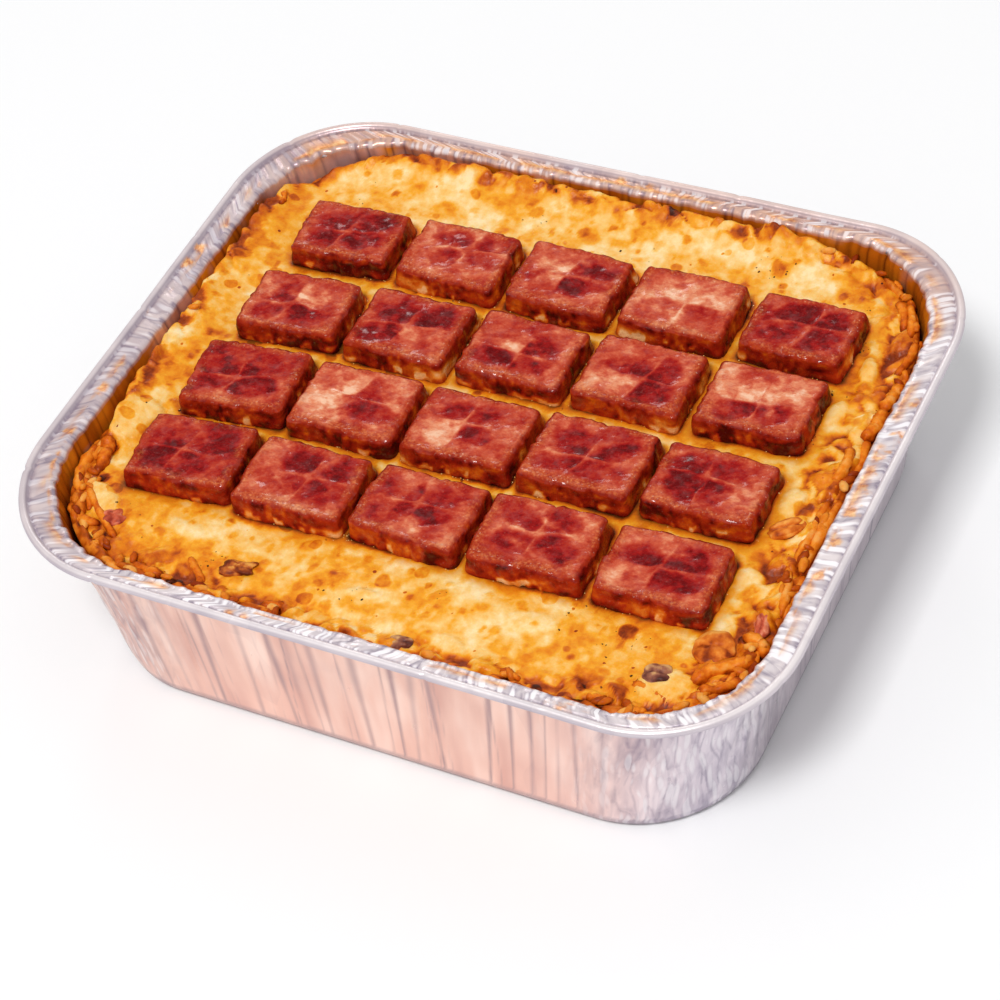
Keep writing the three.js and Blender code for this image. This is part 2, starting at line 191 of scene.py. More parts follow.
def outline_at(shape, stations, out):
    """x, y of each outline in a stack (rows) at each station (columns), moved out: on a corner that is the
    corner's middle plus (radius + out) (cos, sin), and a side runs straight from one corner to the next."""
    quarter, corner, share, _ = stations
    angle = (quarter + corner * share) * (math.pi / 2)

    def by_corner(q):
        radius = shape[:, 2 + q]
        x = np.where((q == 1) | (q == 2), -1, 1) * (shape[:, :1] / 2 - radius) + (radius + out) * np.cos(angle)
        y = np.where(q > 1, -1, 1) * (shape[:, 1:2] / 2 - radius) + (radius + out) * np.sin(angle)
        return x, y

    x0, y0 = by_corner((quarter + 3) % 4)
    x1, y1 = by_corner(quarter)
    part = np.where(corner == 1, 1, share)
    return x0 + (x1 - x0) * part, y0 + (y1 - y0) * part


def pleats(u, drift, turn, pitch, width, seed, slant=0.0, both_ways=True):
    """Narrow folds round the tray, one in each cell of about a pitch: the sum of h exp(-((u - c) / w)^2), with
    a random height h, width w and middle c, which moves by the slant times the drift up the wall."""
    count = int(round(turn / pitch))
    cell = turn / count
    random = np.random.default_rng(seed).uniform(0, 1, (count, 4))
    total = np.zeros(np.broadcast(u, drift).shape)
    for step in (-1, 0, 1):
        index = (np.floor(u / cell).astype(int) + step) % count
        middle = (np.floor(u / cell) + step + 0.15 + 0.7 * random[index, 0]) * cell
        middle = middle + slant * (2 * random[index, 1] - 1) * drift
        height = 2 * random[index, 2] - 1 if both_ways else random[index, 2]
        total = total + height * bell(u - middle, width * (0.6 + 0.8 * random[index, 3]))
    return total


def wall_shape(height):
    """The wall's outline at each height, which widens evenly from the base's to the wall top's."""
    share = np.atleast_1d(height)[:, None] / RIM_HEIGHT
    return BASE + (WALL_TOP - BASE) * share


def tray_section():
    """The tray's section as rings from the middle of the base's underside, up and over, to the base's top: an
    outline, a distance out and a height for each, and which part of the sheet it is on. Rounded turns are
    quarter circles, and the bead is an arc of 295 degrees."""
    rings = []

    def add(shape, out, height, place):
        shape = np.broadcast_to(shape, (len(height), 6))
        rings.append((shape, np.broadcast_to(out, len(height)), height, np.full(len(height), place)))

    turn = np.linspace(0, math.pi / 2, 5)
    add(wall_shape(np.zeros(5)), -BASE_ROUND * (1 - np.sin(turn)), BASE_ROUND * (1 - np.cos(turn)), UNDER_BASE)
    wall = np.linspace(BASE_ROUND, RIM_HEIGHT - WALL_TURN - FOIL, 26)[1:]
    add(wall_shape(wall), 0, wall, OUTSIDE)
    under = RIM_HEIGHT - FOIL - WALL_TURN * (1 - np.sin(turn[1:]))
    add(WALL_TOP, WALL_TURN * (1 - np.cos(turn[1:])), under, UNDER_FLANGE)
    add(RIM, -2 * ROLL, np.array([RIM_HEIGHT - FOIL]), UNDER_FLANGE)
    bead = np.radians(np.linspace(-145, 150, 11))
    add(RIM, ROLL * (np.cos(bead) - 1), RIM_HEIGHT + ROLL * np.sin(bead), BEAD)
    add(RIM, np.array([-2 * ROLL - 0.5, -2 * ROLL - 1.2]), RIM_HEIGHT - np.array([0.55, 0.2]), FLANGE)
    across = np.linspace(0, 1, 9)[1:]
    flange = RIM + (WALL_TOP - RIM) * across[:, None]
    add(flange, (-2 * ROLL - 1.2) * (1 - across) + WALL_TURN * across, np.full(8, RIM_HEIGHT + 0.0), FLANGE)
    over = turn[3::-1]
    add(WALL_TOP, WALL_TURN * (1 - np.cos(over)) - FOIL, RIM_HEIGHT - WALL_TURN * (1 - np.sin(over)), INSIDE)
    inner = np.linspace(RIM_HEIGHT - WALL_TURN, INNER_DEPTH, 10)[1:]
    add(wall_shape(inner), -FOIL, inner, INSIDE)
    hidden = np.array([INNER_DEPTH - 5, BASE_ROUND + FOIL])
    add(wall_shape(hidden), -FOIL - INNER_SLACK, hidden, HIDDEN)
    add(BASE, -BASE_ROUND - FOIL, np.array([FOIL]), HIDDEN)
    return [np.concatenate(column) for column in zip(*rings)]


def flat_sheet():
    """The sheet before it is folded, as rings by stations: u runs round the wall's top, h is the height, reach
    goes from 0 at the flange's edge to 1 at the wall, and x, y is the wall top's place. in_corner is 1 on the
    rounded corners, and crushed where the sheet has buckled, at the corners and the front right."""
    shape, out, height, place = tray_section()
    stations = stations_round(WALL_TOP, FOIL_PITCH)
    count = len(stations[1])
    x, y = outline_at(WALL_TOP[None], stations, 0)
    softened = np.convolve(np.tile(stations[1], 3), np.ones(41) / 41, "same")
    in_corner = np.clip(softened, 0, 1)[None, count:2 * count]
    return SimpleNamespace(
        shape=shape, out=out[:, None], h=height[:, None], place=place[:, None], stations=stations,
        u=stations[3][None, :], turn=stations[3][-1] + FOIL_PITCH, x=x, y=y, in_corner=in_corner,
        crushed=np.maximum(in_corner, rise(x - 0.5 * y, 150, 205) * 0.8),
        reach=np.cumsum(place[:, None] == FLANGE, axis=0) / np.sum(place == FLANGE))


def wall_folds(sheet):
    """How far the wall moves out: grooves and broad facets where it is flat, gathers and crumples where it is
    crushed, all fading to the base. Near the food it moves in by no more than 0.5 mm. Also the gathers and the
    wrinkles, which the finish shows too."""
    u, h, turn = sheet.u, sheet.h, sheet.turn
    grooves = -1.0 * pleats(u, h - 50, turn, 13, 1.7 * (0.5 + 0.5 * h / RIM_HEIGHT), 11, 0.04, both_ways=False)
    facets = 0.6 * pleats(u, h - 50, turn, 23, 6.5, 12)
    slanted = 0.22 * pleats(u, h - 40, turn, 6, 0.9, 13, 0.22)
    gathers = 0.8 * pleats(u, h - 40, turn, 4.4, 1.25, 14, 0.12)
    crumple = 0.5 * cloud(u, h, 9, 15, 2, turn)
    wrinkles = cloud(u + 0.3 * h, h * 0.16, 2.4, 30, 2, turn) - cloud(u - 0.3 * h, h * 0.16, 2.8, 32, 2, turn)
    flat = (grooves + facets + slanted) * (1 - 0.7 * sheet.crushed)
    buckled = (gathers + crumple + 0.25 * wrinkles) * sheet.crushed
    up = rise(h, 0, 30)
    on_wall = (sheet.place == OUTSIDE) | (sheet.place == INSIDE)
    move = on_wall * up * (0.45 + 0.55 * rise(h, 5, RIM_HEIGHT)) * (flat + buckled)
    move = move + 0.35 * cloud(u, h * 0, 70, 16, 2, turn) * up * (sheet.place < HIDDEN)
    return np.maximum(move, -0.5 - 2.25 * fall(h, 52, 64)), gathers, wrinkles


def flange_folds(sheet):
    """How far the flange lifts in ripples and dimples, and in fans at its corners, how far scallops move its
    inner edge out, and the slope of its ripples, which the finish shows too."""
    u, h, turn, reach = sheet.u, sheet.h, sheet.turn, sheet.reach
    skew = 6 * reach * cloud(u, 0 * h, 25, 18, 1, turn)
    ripple = 0.45 * pleats(u + skew, 0 * h, turn, 6, 1.5, 19)
    ripple = ripple + 0.2 * pleats(u - skew, 0 * h, turn, 4.4, 0.8, 20)
    fans = 0.5 * pleats(u, 0 * h, turn, 4.8, 1.2, 21) * sheet.in_corner * (0.35 + 0.65 * reach)
    dimples = 0.2 * cloud(u, reach * 12, 7, 22, 1, turn)
    folds = ripple * (1 - 0.5 * sheet.in_corner) + fans + dimples
    lift = (sheet.place == FLANGE) * folds * rise(reach, 0.08, 0.35)
    inner_edge = bell(h - (RIM_HEIGHT - 1.5), 3.0) * (sheet.place == INSIDE)
    scallop = 0.55 * pleats(u, 0 * h, turn, 5.4, 1.5, 17) * (0.7 + 0.8 * sheet.in_corner)
    slope = np.gradient(ripple + fans, axis=1) / FOIL_PITCH
    return lift + inner_edge * (ripple * 0.6 + fans), scallop * inner_edge, slope


def foil_fold_shade(sheet, gathers, wrinkles, slope):
    """Painted shade down the folds, from 0 to 1: streaks down the outer wall and scores inside it, the ripples'
    steeper sides and the channel along the bead on the flange, and the lower flank of the bead."""
    u, h, turn = sheet.u, sheet.h, sheet.turn
    outside = pleats(u, h - 50, turn, 10.5, 1.9 * (0.35 + 0.65 * h / RIM_HEIGHT), 27, 0.05, both_ways=False)
    outside = outside + 0.7 * pleats(u, h - 50, turn, 7.5, 0.55, 33, 0.08, both_ways=False)
    outside = np.clip(outside * 1.25 - 0.12 + 0.2 * cloud(u, h, 14, 28, 2, turn), 0, 1)
    buckled = np.clip(0.4 * gathers + 0.25 * wrinkles + 0.1, 0, 1)
    outside = outside * (1 - 0.75 * sheet.crushed) + sheet.crushed * buckled
    scores = pleats(u, 0 * h, turn, 4.6, 0.7, 29, both_ways=False)
    ribs = 1.6 * slope * rise(sheet.reach, 0.02, 0.3) + 0.15 * cloud(u, sheet.reach * 12, 9, 31, 2, turn)
    flank = 0.12 + 0.6 * fall((h - RIM_HEIGHT) / ROLL, 0.35, 0.9) + 0.12 * cloud(u, h * 0, 9, 37, 2, turn)
    fold_shades = np.select([sheet.place == OUTSIDE, sheet.place == INSIDE, sheet.place == FLANGE],
                        [outside, scores, np.clip(ribs, 0, 1)], flank)
    channel = 0.5 * bell(sheet.reach - 0.12, 0.07) * (sheet.place == FLANGE)
    return np.clip(fold_shades + channel, 0, 1)


def foil_marks(sheet, x, y, fold_shades):
    """The finish's marks, from 0 to 1: painted peach reflection, baked-on fat, sauce, painted shade down the
    folds, crushed, on the flange, and painted shade towards the left and the back."""
    u, h, turn = sheet.u, sheet.h, sheet.turn
    inside = sheet.place == INSIDE
    lip = ((sheet.place == FLANGE) | (sheet.place == BEAD)) + inside * fall(RIM_HEIGHT - h, 0.8, 3.5)
    # Painted peach reflection: the front of the outer wall, and the flange and bead, most at the back and a
    # little towards the left, are tinted peach.
    front = rise(-(sheet.y + 0.35 * sheet.x), 40, 110) * fall(sheet.x, 90, 150) * (sheet.place <= UNDER_FLANGE)
    back = 1.1 * rise(sheet.y, 70, 128) * (0.85 + 0.4 * cloud(u, 0 * h, 22, 35, 2, turn))
    tint = np.clip(back + 0.2 * rise(-sheet.x, 90, 140) + 0.1, 0, 1) * np.where(sheet.place == BEAD, 0.5, 1)
    cleaner = 0.5 * rise(sheet.y - 0.5 * sheet.x, 130, 175) * fall(sheet.x, -110, -60)
    fat = rise(RIM_HEIGHT - h, 0.5, 2.8) * inside * (1.2 - cleaner + 0.4 * cloud(u, h, 12, 25, 2, turn))
    nearest = np.min(np.hypot(x[..., None] - SMEARS[:, 0], y[..., None] - SMEARS[:, 1]), axis=-1)
    smeared = 0.8 * rise(bell(nearest, SMEAR_SIZE) + 0.45 * cloud(x, y, 3.0, 26, 3), 0.4, 0.95)
    spills = cloud(u, sheet.reach * 14, 11, 36, 3, turn) + 0.6 * rise(sheet.y, 90, 125)
    spills = spills + 0.4 * rise(sheet.x, 125, 150) + 0.15 * rise(-sheet.y, 90, 125)
    spilt = 0.75 * rise(sheet.reach, 0.35, 1) * rise(spills, 0.22, 0.8)
    crushed = np.where(sheet.place == BEAD, 0, np.maximum(lip, sheet.crushed * (sheet.place < BEAD)))
    # Painted shade: the flange and bead are darker towards the left and the back, and glint less there.
    marks = {
        "warm_reflection": front + lip * tint, "grease": np.clip(fat, 0, 1), "fold_shade": fold_shades, "crushed": crushed,
        "sauce": np.maximum(smeared, spilt) * (sheet.place == FLANGE), "flange": lip,
        "side_shade": (0.22 * rise(-sheet.x, 90, 150) + 0.12 * rise(sheet.y, 60, 120)) * lip}
    return {name: values + 0 * x for name, values in marks.items()}


def tray_surface():
    """Points of the folded tray as rings by stations, the marks of its finish, and for each point the place
    round and up the sheet that its grain follows."""
    sheet = flat_sheet()
    out, gathers, wrinkles = wall_folds(sheet)
    lift, scallop, slope = flange_folds(sheet)
    kinks = -0.55 * pleats(sheet.u, 0 * sheet.h, sheet.turn, 62, 1.0, 23, both_ways=False)
    kinks = kinks * (sheet.place == BEAD)
    sway = 0.45 * cloud(sheet.u, 0 * sheet.h, 90, 24, 2, sheet.turn) * rise(sheet.h, 60, RIM_HEIGHT)
    x, y = outline_at(sheet.shape, sheet.stations, sheet.out + out + scallop + kinks)
    z = sheet.h + lift + sway + kinks * 0.4 * (sheet.h > RIM_HEIGHT)
    marks = foil_marks(sheet, x, y, foil_fold_shade(sheet, gathers, wrinkles, slope))
    radius = sheet.turn / (2 * math.pi)
    half_length = (sheet.out + sheet.shape[:, :1] / 2)[:, 0]
    run = np.cumsum(np.concatenate([[0], np.hypot(np.diff(sheet.h[:, 0]), np.diff(half_length))]))
    angle = sheet.u / radius
    around = np.stack(np.broadcast_arrays(radius * np.cos(angle), radius * np.sin(angle), run[:, None]), -1)
    return np.stack([x, y, z], -1), marks, around


def fan_faces(loop, middle, downwards):
    """Triangles from a closed loop of points to its middle, facing down or up."""
    after = np.roll(loop, -1)
    edge = (after, loop) if downwards else (loop, after)
    return np.stack([*edge, np.full(len(loop), middle)], -1)


def tube_faces(rings, sides):
    """Four-sided faces between stacked rings of points, and triangles that close the first and the last ring
    on the two points after them. They face out where the rings run up and their points anticlockwise."""
    low = np.arange(rings - 1)[:, None] * sides + np.arange(sides)
    beside = np.roll(low, -1, axis=1)
    quads = np.stack([low, beside, beside + sides, low + sides], -1).reshape(-1, 4)
    count = rings * sides
    ends = [fan_faces(low[0], count, True), fan_faces(low[-1] + sides, count + 1, False)]
    return quads, np.concatenate(ends)


def make_piece(name, body, finish, slot, nodes, marks=None, places=None):
    """Puts a body, which is points in millimetres, quads and triangles, into a smooth mesh at the origin, with
    one number a point for each mark, hangs it from the root and hides the frame's nodes that it stands for. The
    slot is not used."""
    points, quads, triangles = body
    corners = np.concatenate([np.ravel(quads), np.ravel(triangles)]).astype(np.int32)
    sides = np.concatenate([np.full(len(quads), 4), np.full(len(triangles), 3)])
    flat = np.ravel(points).astype(np.float32)
    mesh = bpy.data.meshes.new(name)
    mesh.vertices.add(len(flat) // 3)
    mesh.vertices.foreach_set("co", flat * MM)
    mesh.loops.add(len(corners))
    mesh.loops.foreach_set("vertex_index", corners)
    mesh.polygons.add(len(sides))
    mesh.polygons.foreach_set("loop_start", (np.cumsum(sides) - sides).astype(np.int32))
    for label, values in (marks or {}).items():
        layer = mesh.attributes.new(label, "FLOAT", "POINT")
        layer.data.foreach_set("value", np.ravel(values).astype(np.float32))
    if places is not None:
        layer = mesh.attributes.new("around", "FLOAT_VECTOR", "POINT")
        layer.data.foreach_set("vector", np.ravel(places * MM).astype(np.float32))
    mesh.update(calc_edges=True)
    mesh.validate()
    mesh.shade_smooth()
    mesh.materials.append(finish)
    piece = add_object(name, mesh)
    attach(piece, "root")
    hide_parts(*nodes)


def feed(tree, node, sources):
    """Feeds each of a node's inputs from another node's output, or sets it to a number, places or a colour."""
    for socket, source in sources.items():
        if isinstance(source, bpy.types.NodeSocket):
            tree.links.new(source, node.inputs[socket])
        else:
            node.inputs[socket].default_value = source


def put(tree, kind, sources, **settings):
    """Adds a node with its settings, and feeds its inputs."""
    node = tree.nodes.new(kind)
    for name, value in settings.items():
        setattr(node, name, value)
    feed(tree, node, sources)
    return node


def new_finish(name):
    """A material, its tree and its shader."""
    finish = bpy.data.materials.new(name)
    finish.use_nodes = True
    return finish, finish.node_tree, finish.node_tree.nodes["Principled BSDF"]


def mixed(tree, share, first, second):
    """The first colour, going over to the second by the share."""
    return put(tree, "ShaderNodeMix", {0: share, 6: first, 7: second}, data_type="RGBA").outputs[2]


def reckon(tree, operation, first, second, third=0.0):
    """A sum, product or other reckoning of two numbers, or of three for a product and a sum."""
    return put(tree, "ShaderNodeMath", {0: first, 1: second, 2: third}, operation=operation).outputs[0]


def times(tree, first, second, plus=None):
    """The product of two numbers, and a third on top of it where that is given."""
    if plus is None:
        return reckon(tree, "MULTIPLY", first, second)
    return reckon(tree, "MULTIPLY_ADD", first, second, plus)


def graded(tree, share, stops):
    """A colour scale: stops are pairs of a place from 0 to 1 and a colour."""
    node = put(tree, "ShaderNodeValToRGB", {"Fac": share})
    scale = node.color_ramp.elements
    while len(scale) < len(stops):
        scale.new(0.5)
    for element, (place, colour) in zip(scale, stops):
        element.position = place
        element.color = (*colour, 1)
    return node.outputs["Color"]


def sloped(tree, share, *stops):
    """A number that runs evenly between two stops, pairs of a place from 0 to 1 and the number there."""
    return graded(tree, share, [(place, (value, value, value)) for place, value in stops])


def mark(tree, name):
    """One of a piece's marks, as a number."""
    return put(tree, "ShaderNodeAttribute", {}, attribute_name=name).outputs["Fac"]


def grain_of(tree, places, scale, detail=3.0, rough=0.55):
    """A noise from 0 to 1 at a scale for each metre."""
    sources = {"Vector": places, "Scale": scale, "Detail": detail, "Roughness": rough}
    return put(tree, "ShaderNodeTexNoise", sources).outputs["Fac"]


def about_nought(tree, share):
    """A share from 0 to 1 as a number from -0.5 to 0.5."""
    return reckon(tree, "SUBTRACT", share, 0.5)


def object_places(tree):
    """Each point's place on its object, in metres."""
    return put(tree, "ShaderNodeTexCoord", {}).outputs["Object"]


def stretched(tree, places, stretch, turn=0.0):
    """Places drawn out along an axis, turned about z."""
    sources = {"Vector": places, "Rotation": (0, 0, turn), "Scale": stretch}
    return put(tree, "ShaderNodeMapping", sources).outputs["Vector"]


def relief(tree, height, strength, distance, below=None):
    """A bump of a height in metres, on top of another."""
    sources = {"Height": height, "Strength": strength, "Distance": distance}
    if below is not None:
        sources["Normal"] = below
    return put(tree, "ShaderNodeBump", sources).outputs["Normal"]


def drifted(tree, places, scale, amount):
    """Places shifted each way by a soft noise, by up to that many metres."""
    drift = put(tree, "ShaderNodeTexNoise", {"Vector": places, "Scale": scale, "Detail": 1.0}).outputs["Color"]
    sources = {0: drift, 1: (amount, amount, amount), 2: places}
    return put(tree, "ShaderNodeVectorMath", sources, operation="MULTIPLY_ADD").outputs["Vector"]


def cells(tree, places, stretch, scale):
    """Crisp-edged cells: how far each place is from its cell's middle, in cell widths, and the cell's own
    number from 0 to 1."""
    cell = put(tree, "ShaderNodeTexVoronoi", {"Vector": stretched(tree, places, stretch), "Scale": scale})
    number = put(tree, "ShaderNodeSeparateColor", {"Color": cell.outputs["Color"]}).outputs[0]
    return cell.outputs["Distance"], number


def creases(tree, places, stretch, scale):
    """Thin lines along the borders between cells, 1 on the line."""
    sources = {"Vector": stretched(tree, places, stretch), "Scale": scale}
    edge = put(tree, "ShaderNodeTexVoronoi", sources, feature="DISTANCE_TO_EDGE").outputs["Distance"]
    return sloped(tree, edge, (0.02, 1), (0.13, 0))


def clamped(tree, value):
    """The number, held between 0 and 1."""
    return put(tree, "ShaderNodeClamp", {"Value": value}).outputs[0]


def bare_foil(tree, around, marks):
    """The bare metal: its colour, the height of its facets, where it glints, and the patches that its colour
    follows. The sheet is in facets drawn out up the wall and across the flange, broad on the flat walls, narrow
    where it is crushed, with fine lines between them; facets and lines are painted as shade in the colour. It
    is cool silver, or rosy where a peach reflection is painted, with painted grey violet shade down the folds
    and painted shade towards the left and the back. The flange is painted in a brighter sheen. Glints are
    painted highlights: soft white spindles at the middles of the finest facets."""
    crushed, warm_reflection, flange = marks["crushed"], marks["warm_reflection"], marks["flange"]
    bent = drifted(tree, around, 30, 0.011)
    broad = times(tree, cells(tree, bent, (1, 1, 0.12), 60)[1], 0.3)
    fold = cells(tree, bent, (1, 1, 0.11), 200)[1]
    away, fine_fold = cells(tree, bent, (1, 1, 0.15), 400)
    narrow = times(tree, fine_fold, 0.5, times(tree, fold, 0.5))
    sheet = put(tree, "ShaderNodeMix", {0: crushed, 2: broad, 3: narrow}).outputs[0]
    broken = sloped(tree, grain_of(tree, around, 130, 2), (0.4, 0.1), (0.55, 1))
    lines = times(tree, times(tree, creases(tree, bent, (1, 1, 0.11), 200), broken), crushed)
    # Painted shade: the facets, the crease lines and the folds darken the colour towards grey violet.
    folds = times(tree, times(tree, crushed, 0.5), sheet, times(tree, marks["fold_shade"], 0.85, marks["side_shade"]))
    folds = times(tree, lines, 0.34, times(tree, broad, 0.35, folds))
    patches = grain_of(tree, stretched(tree, around, (1, 1, 0.25)), 60, 2)
    silver = graded(tree, patches, [(0.3, (0.68, 0.6, 0.65)), (0.6, (0.9, 0.82, 0.86))])
    rosy = graded(tree, patches, [(0.3, (0.74, 0.44, 0.37)), (0.52, (0.9, 0.6, 0.5)), (0.7, (1, 0.76, 0.66))])
    # Painted sheen: the flange, the bead and the top of the inside are painted near white, or peach where
    # tinted.
    painted_flange_sheen = mixed(tree, warm_reflection, (1, 0.93, 0.94, 1), (0.98, 0.6, 0.42, 1))
    clean = mixed(tree, flange, mixed(tree, warm_reflection, silver, rosy), painted_flange_sheen)
    dark = mixed(tree, warm_reflection, (0.36, 0.31, 0.39, 1), (0.42, 0.28, 0.29, 1))
    folded = mixed(tree, clamped(tree, folds), clean, dark)
    # Painted highlights: glints are white in the colour and not metallic.
    glint = sloped(tree, times(tree, fine_fold, -0.45, away), (0, 1), (0.22, 0))
    glint = times(tree, glint, times(tree, crushed, times(tree, flange, 0.5, 0.5)))
    glint = times(tree, glint, times(tree, marks["side_shade"], -2.2, 0.8))
    return mixed(tree, glint, folded, (1, 0.97, 0.98, 1)), sheet, glint, patches


def foil_finish():
    """Satin aluminium, amber where fat has baked on inside, with painted shade in its scores, and orange where
    sauce has smeared the flange. What covers it, the painted glints and part of the flange's painted sheen are
    not metallic."""
    finish, tree, shader = new_finish("foil")
    around = put(tree, "ShaderNodeAttribute", {}, attribute_name="around").outputs["Vector"]
    names = ("warm_reflection", "crushed", "flange", "side_shade", "fold_shade", "grease", "sauce")
    marks = {name: mark(tree, name) for name in names}
    metal, sheet, glint, patches = bare_foil(tree, around, marks)
    amber = graded(tree, patches, [
        (0.3, (0.34, 0.07, 0.003)), (0.5, (0.5, 0.125, 0.005)), (0.7, (0.7, 0.22, 0.01))])
    # Painted shade: the baked-on fat is darker down the scores.
    scored = mixed(tree, times(tree, marks["fold_shade"], 0.9), amber, (0.11, 0.015, 0.002, 1))
    orange = graded(tree, grain_of(tree, around, 400, 2), [
        (0.35, (0.5, 0.13, 0.012)), (0.5, (0.85, 0.33, 0.06)), (0.65, (0.97, 0.55, 0.2))])
    greased = mixed(tree, marks["grease"], metal, scored)
    covered_share = reckon(tree, "MAXIMUM", marks["grease"], marks["sauce"])
    covered_share = reckon(tree, "MAXIMUM", covered_share, times(tree, marks["flange"], 0.6, glint))
    crinkles = relief(tree, grain_of(tree, stretched(tree, around, (1, 1, 0.5)), 300, 2), 0.25, 0.0006)
    feed(tree, shader, {
        "Base Color": mixed(tree, marks["sauce"], greased, orange),
        "Metallic": clamped(tree, reckon(tree, "SUBTRACT", 1.0, covered_share)),
        "Roughness": times(tree, grain_of(tree, around, 150, 3), 0.2, 0.22), "Specular IOR Level": 0.1,
        "Normal": relief(tree, sheet, 0.35, 0.0006, crinkles)})
    return finish


tray_points, tray_marks, tray_around = tray_surface()
tray_poles = np.array([[0, 0, 0], [0, 0, FOIL]])
make_piece(
    "pressed_foil_tray",
    (np.concatenate([tray_points.reshape(-1, 3), tray_poles]), *tube_faces(*tray_points.shape[:2])),
    foil_finish(), "foil", ["foil_tray"],
    {name: np.append(values, [0, 0]) for name, values in tray_marks.items()},
    np.concatenate([tray_around.reshape(-1, 3), np.zeros((2, 3))]),
)

# The bed of baked rice fills the tray up to a few millimetres under the cheese. Between the cheese's edge and
# the wall its surface shows: a rough orange border, highest where it is widest, with painted shade in the gaps
# by the wall.
BED_TOP = 67.6
BED_CLEAR = 2.1
BED_NET = 0.95
BED_FOOT = 0.95
BORDER = {"least": 0.5, "left": 1.0, "right": 3.2, "front": 2.6, "back": 0.5, "front_left": 5}


def corner_radius(x, y, shape):
    """The radius of the rounded rectangle's corner in the quarter where each place lies."""
    return shape[2 + np.where(y >= 0, np.where(x >= 0, 0, 1), np.where(x >= 0, 3, 2))]


def pillow(a, b, shape):
    """Carries a square, -1 to 1 each way, onto a rounded rectangle. Each square ring goes to a smaller copy of
    the outline, its corners to the middles of the round ones. Gives the outline's point, the way out there, and
    the ring's share of the outline."""
    share = np.maximum(np.abs(a), np.abs(b))
    safe = np.where(share > 0, share, 1)
    sideways = np.abs(a) >= np.abs(b)
    radius = corner_radius(a, b, shape)
    ahead = np.where(sideways, shape[0], shape[1]) / 2
    beside = np.where(sideways, shape[1], shape[0]) / 2 - radius
    reach = np.where(sideways, np.abs(b), np.abs(a)) / safe * (beside + radius * math.pi / 4)
    bend = np.clip(reach - beside, 0, None) / radius
    forward = ahead - radius + radius * np.cos(bend)
    aside = np.minimum(reach, beside) + radius * np.sin(bend)
    sign_a = np.where(a < 0, -1, 1)
    sign_b = np.where(b < 0, -1, 1)
    x = sign_a * np.where(sideways, forward, aside)
    y = sign_b * np.where(sideways, aside, forward)
    out_x = sign_a * np.where(sideways, np.cos(bend), np.sin(bend))
    out_y = sign_b * np.where(sideways, np.sin(bend), np.cos(bend))
    return x, y, out_x, out_y, share


def square_net(length, width, step):
    """A square's own places in rows, -1 to 1 each way, about a step apart once it is spread over that size."""
    b, a = np.meshgrid(np.linspace(-1, 1, int(width / step) | 1), np.linspace(-1, 1, int(length / step) | 1),
                       indexing="ij")
    return a, b


def net_in_wall(length, width, step, shape, inset):
    """A net spread over a rounded rectangle drawn in by the inset, which may change with the outline's place:
    the net, the edge's place at each point and the way out there, the point's own place, how far it is inside
    the edge, and the heading along the edge."""
    a, b = square_net(length, width, step)
    edge_x, edge_y, out_x, out_y, share = pillow(a, b, shape)
    drawn_in = inset(edge_x, edge_y)
    edge_x = edge_x - drawn_in * out_x
    edge_y = edge_y - drawn_in * out_y
    inside = (1 - share) * (edge_x * out_x + edge_y * out_y)
    return SimpleNamespace(a=a, b=b, edge_x=edge_x, edge_y=edge_y, out_x=out_x, out_y=out_y, x=edge_x * share,
                           y=edge_y * share, inside=inside, along=np.arctan2(out_y, out_x) + math.pi / 2)


def net_edge(rows, columns):
    """The points round a net's edge, anticlockwise from its first."""
    index = np.arange(rows * columns).reshape(rows, columns)
    return np.concatenate([index[0, :-1], index[:-1, -1], index[-1, :0:-1], index[:0:-1, 0]])


def covered(top, skirts, foot):
    """The points and faces of a closed lump: its top is a net, rings of points hang from the net's edge, and
    the last ring closes on the foot."""
    rows, columns = top.shape[:2]
    index = np.arange(rows * columns).reshape(rows, columns)
    quads = [np.stack([index[:-1, :-1], index[:-1, 1:], index[1:, 1:], index[1:, :-1]], -1).reshape(-1, 4)]
    upper = net_edge(rows, columns)
    first = rows * columns
    for number in range(len(skirts)):
        lower = first + number * len(upper) + np.arange(len(upper))
        quads.append(np.stack([lower, np.roll(lower, -1), np.roll(upper, -1), upper], -1))
        upper = lower
    points = np.concatenate([top.reshape(-1, 3), np.concatenate(skirts), np.atleast_2d(foot)])
    return points, np.concatenate(quads), fan_faces(upper, len(points) - 1, True)


def near_cells(x, y, pitch, seed, numbers):
    """The nine cells of a square lattice round each place, one after another: the cell's own row and column,
    and its random numbers from 0 to 1, which come from a table that repeats."""
    table = np.random.default_rng(seed).uniform(0, 1, (97, 89, numbers))
    for across in (-1, 0, 1):
        for along in (-1, 0, 1):
            i = np.floor(x / pitch).astype(int) + across
            j = np.floor(y / pitch).astype(int) + along
            yield i, j, table[i % 97, j % 89]


def spots(x, y, pitch, seed, small, large, chance=1.0):
    """Round spots strewn over a plan: each cell of a square lattice may hold one, at a random place and size.
    The value is (1 - d^2)^2, where d is the distance from the nearest spot's middle over its radius."""
    best = np.zeros(np.broadcast(x, y).shape)
    for i, j, random in near_cells(x, y, pitch, seed, 4):
        radius = small + (large - small) * random[..., 2] ** 2
        away = (x - (i + 0.1 + 0.8 * random[..., 0]) * pitch) ** 2
        away = away + (y - (j + 0.1 + 0.8 * random[..., 1]) * pitch) ** 2
        value = np.clip(1 - away / radius**2, 0, None) ** 2 * (random[..., 3] < chance)
        best = np.maximum(best, value)
    return best


def turned(x, y, angle):
    """x, y carried round the origin by an angle: (x cos - y sin, x sin + y cos)."""
    return np.cos(angle) * x - np.sin(angle) * y, np.sin(angle) * x + np.cos(angle) * y


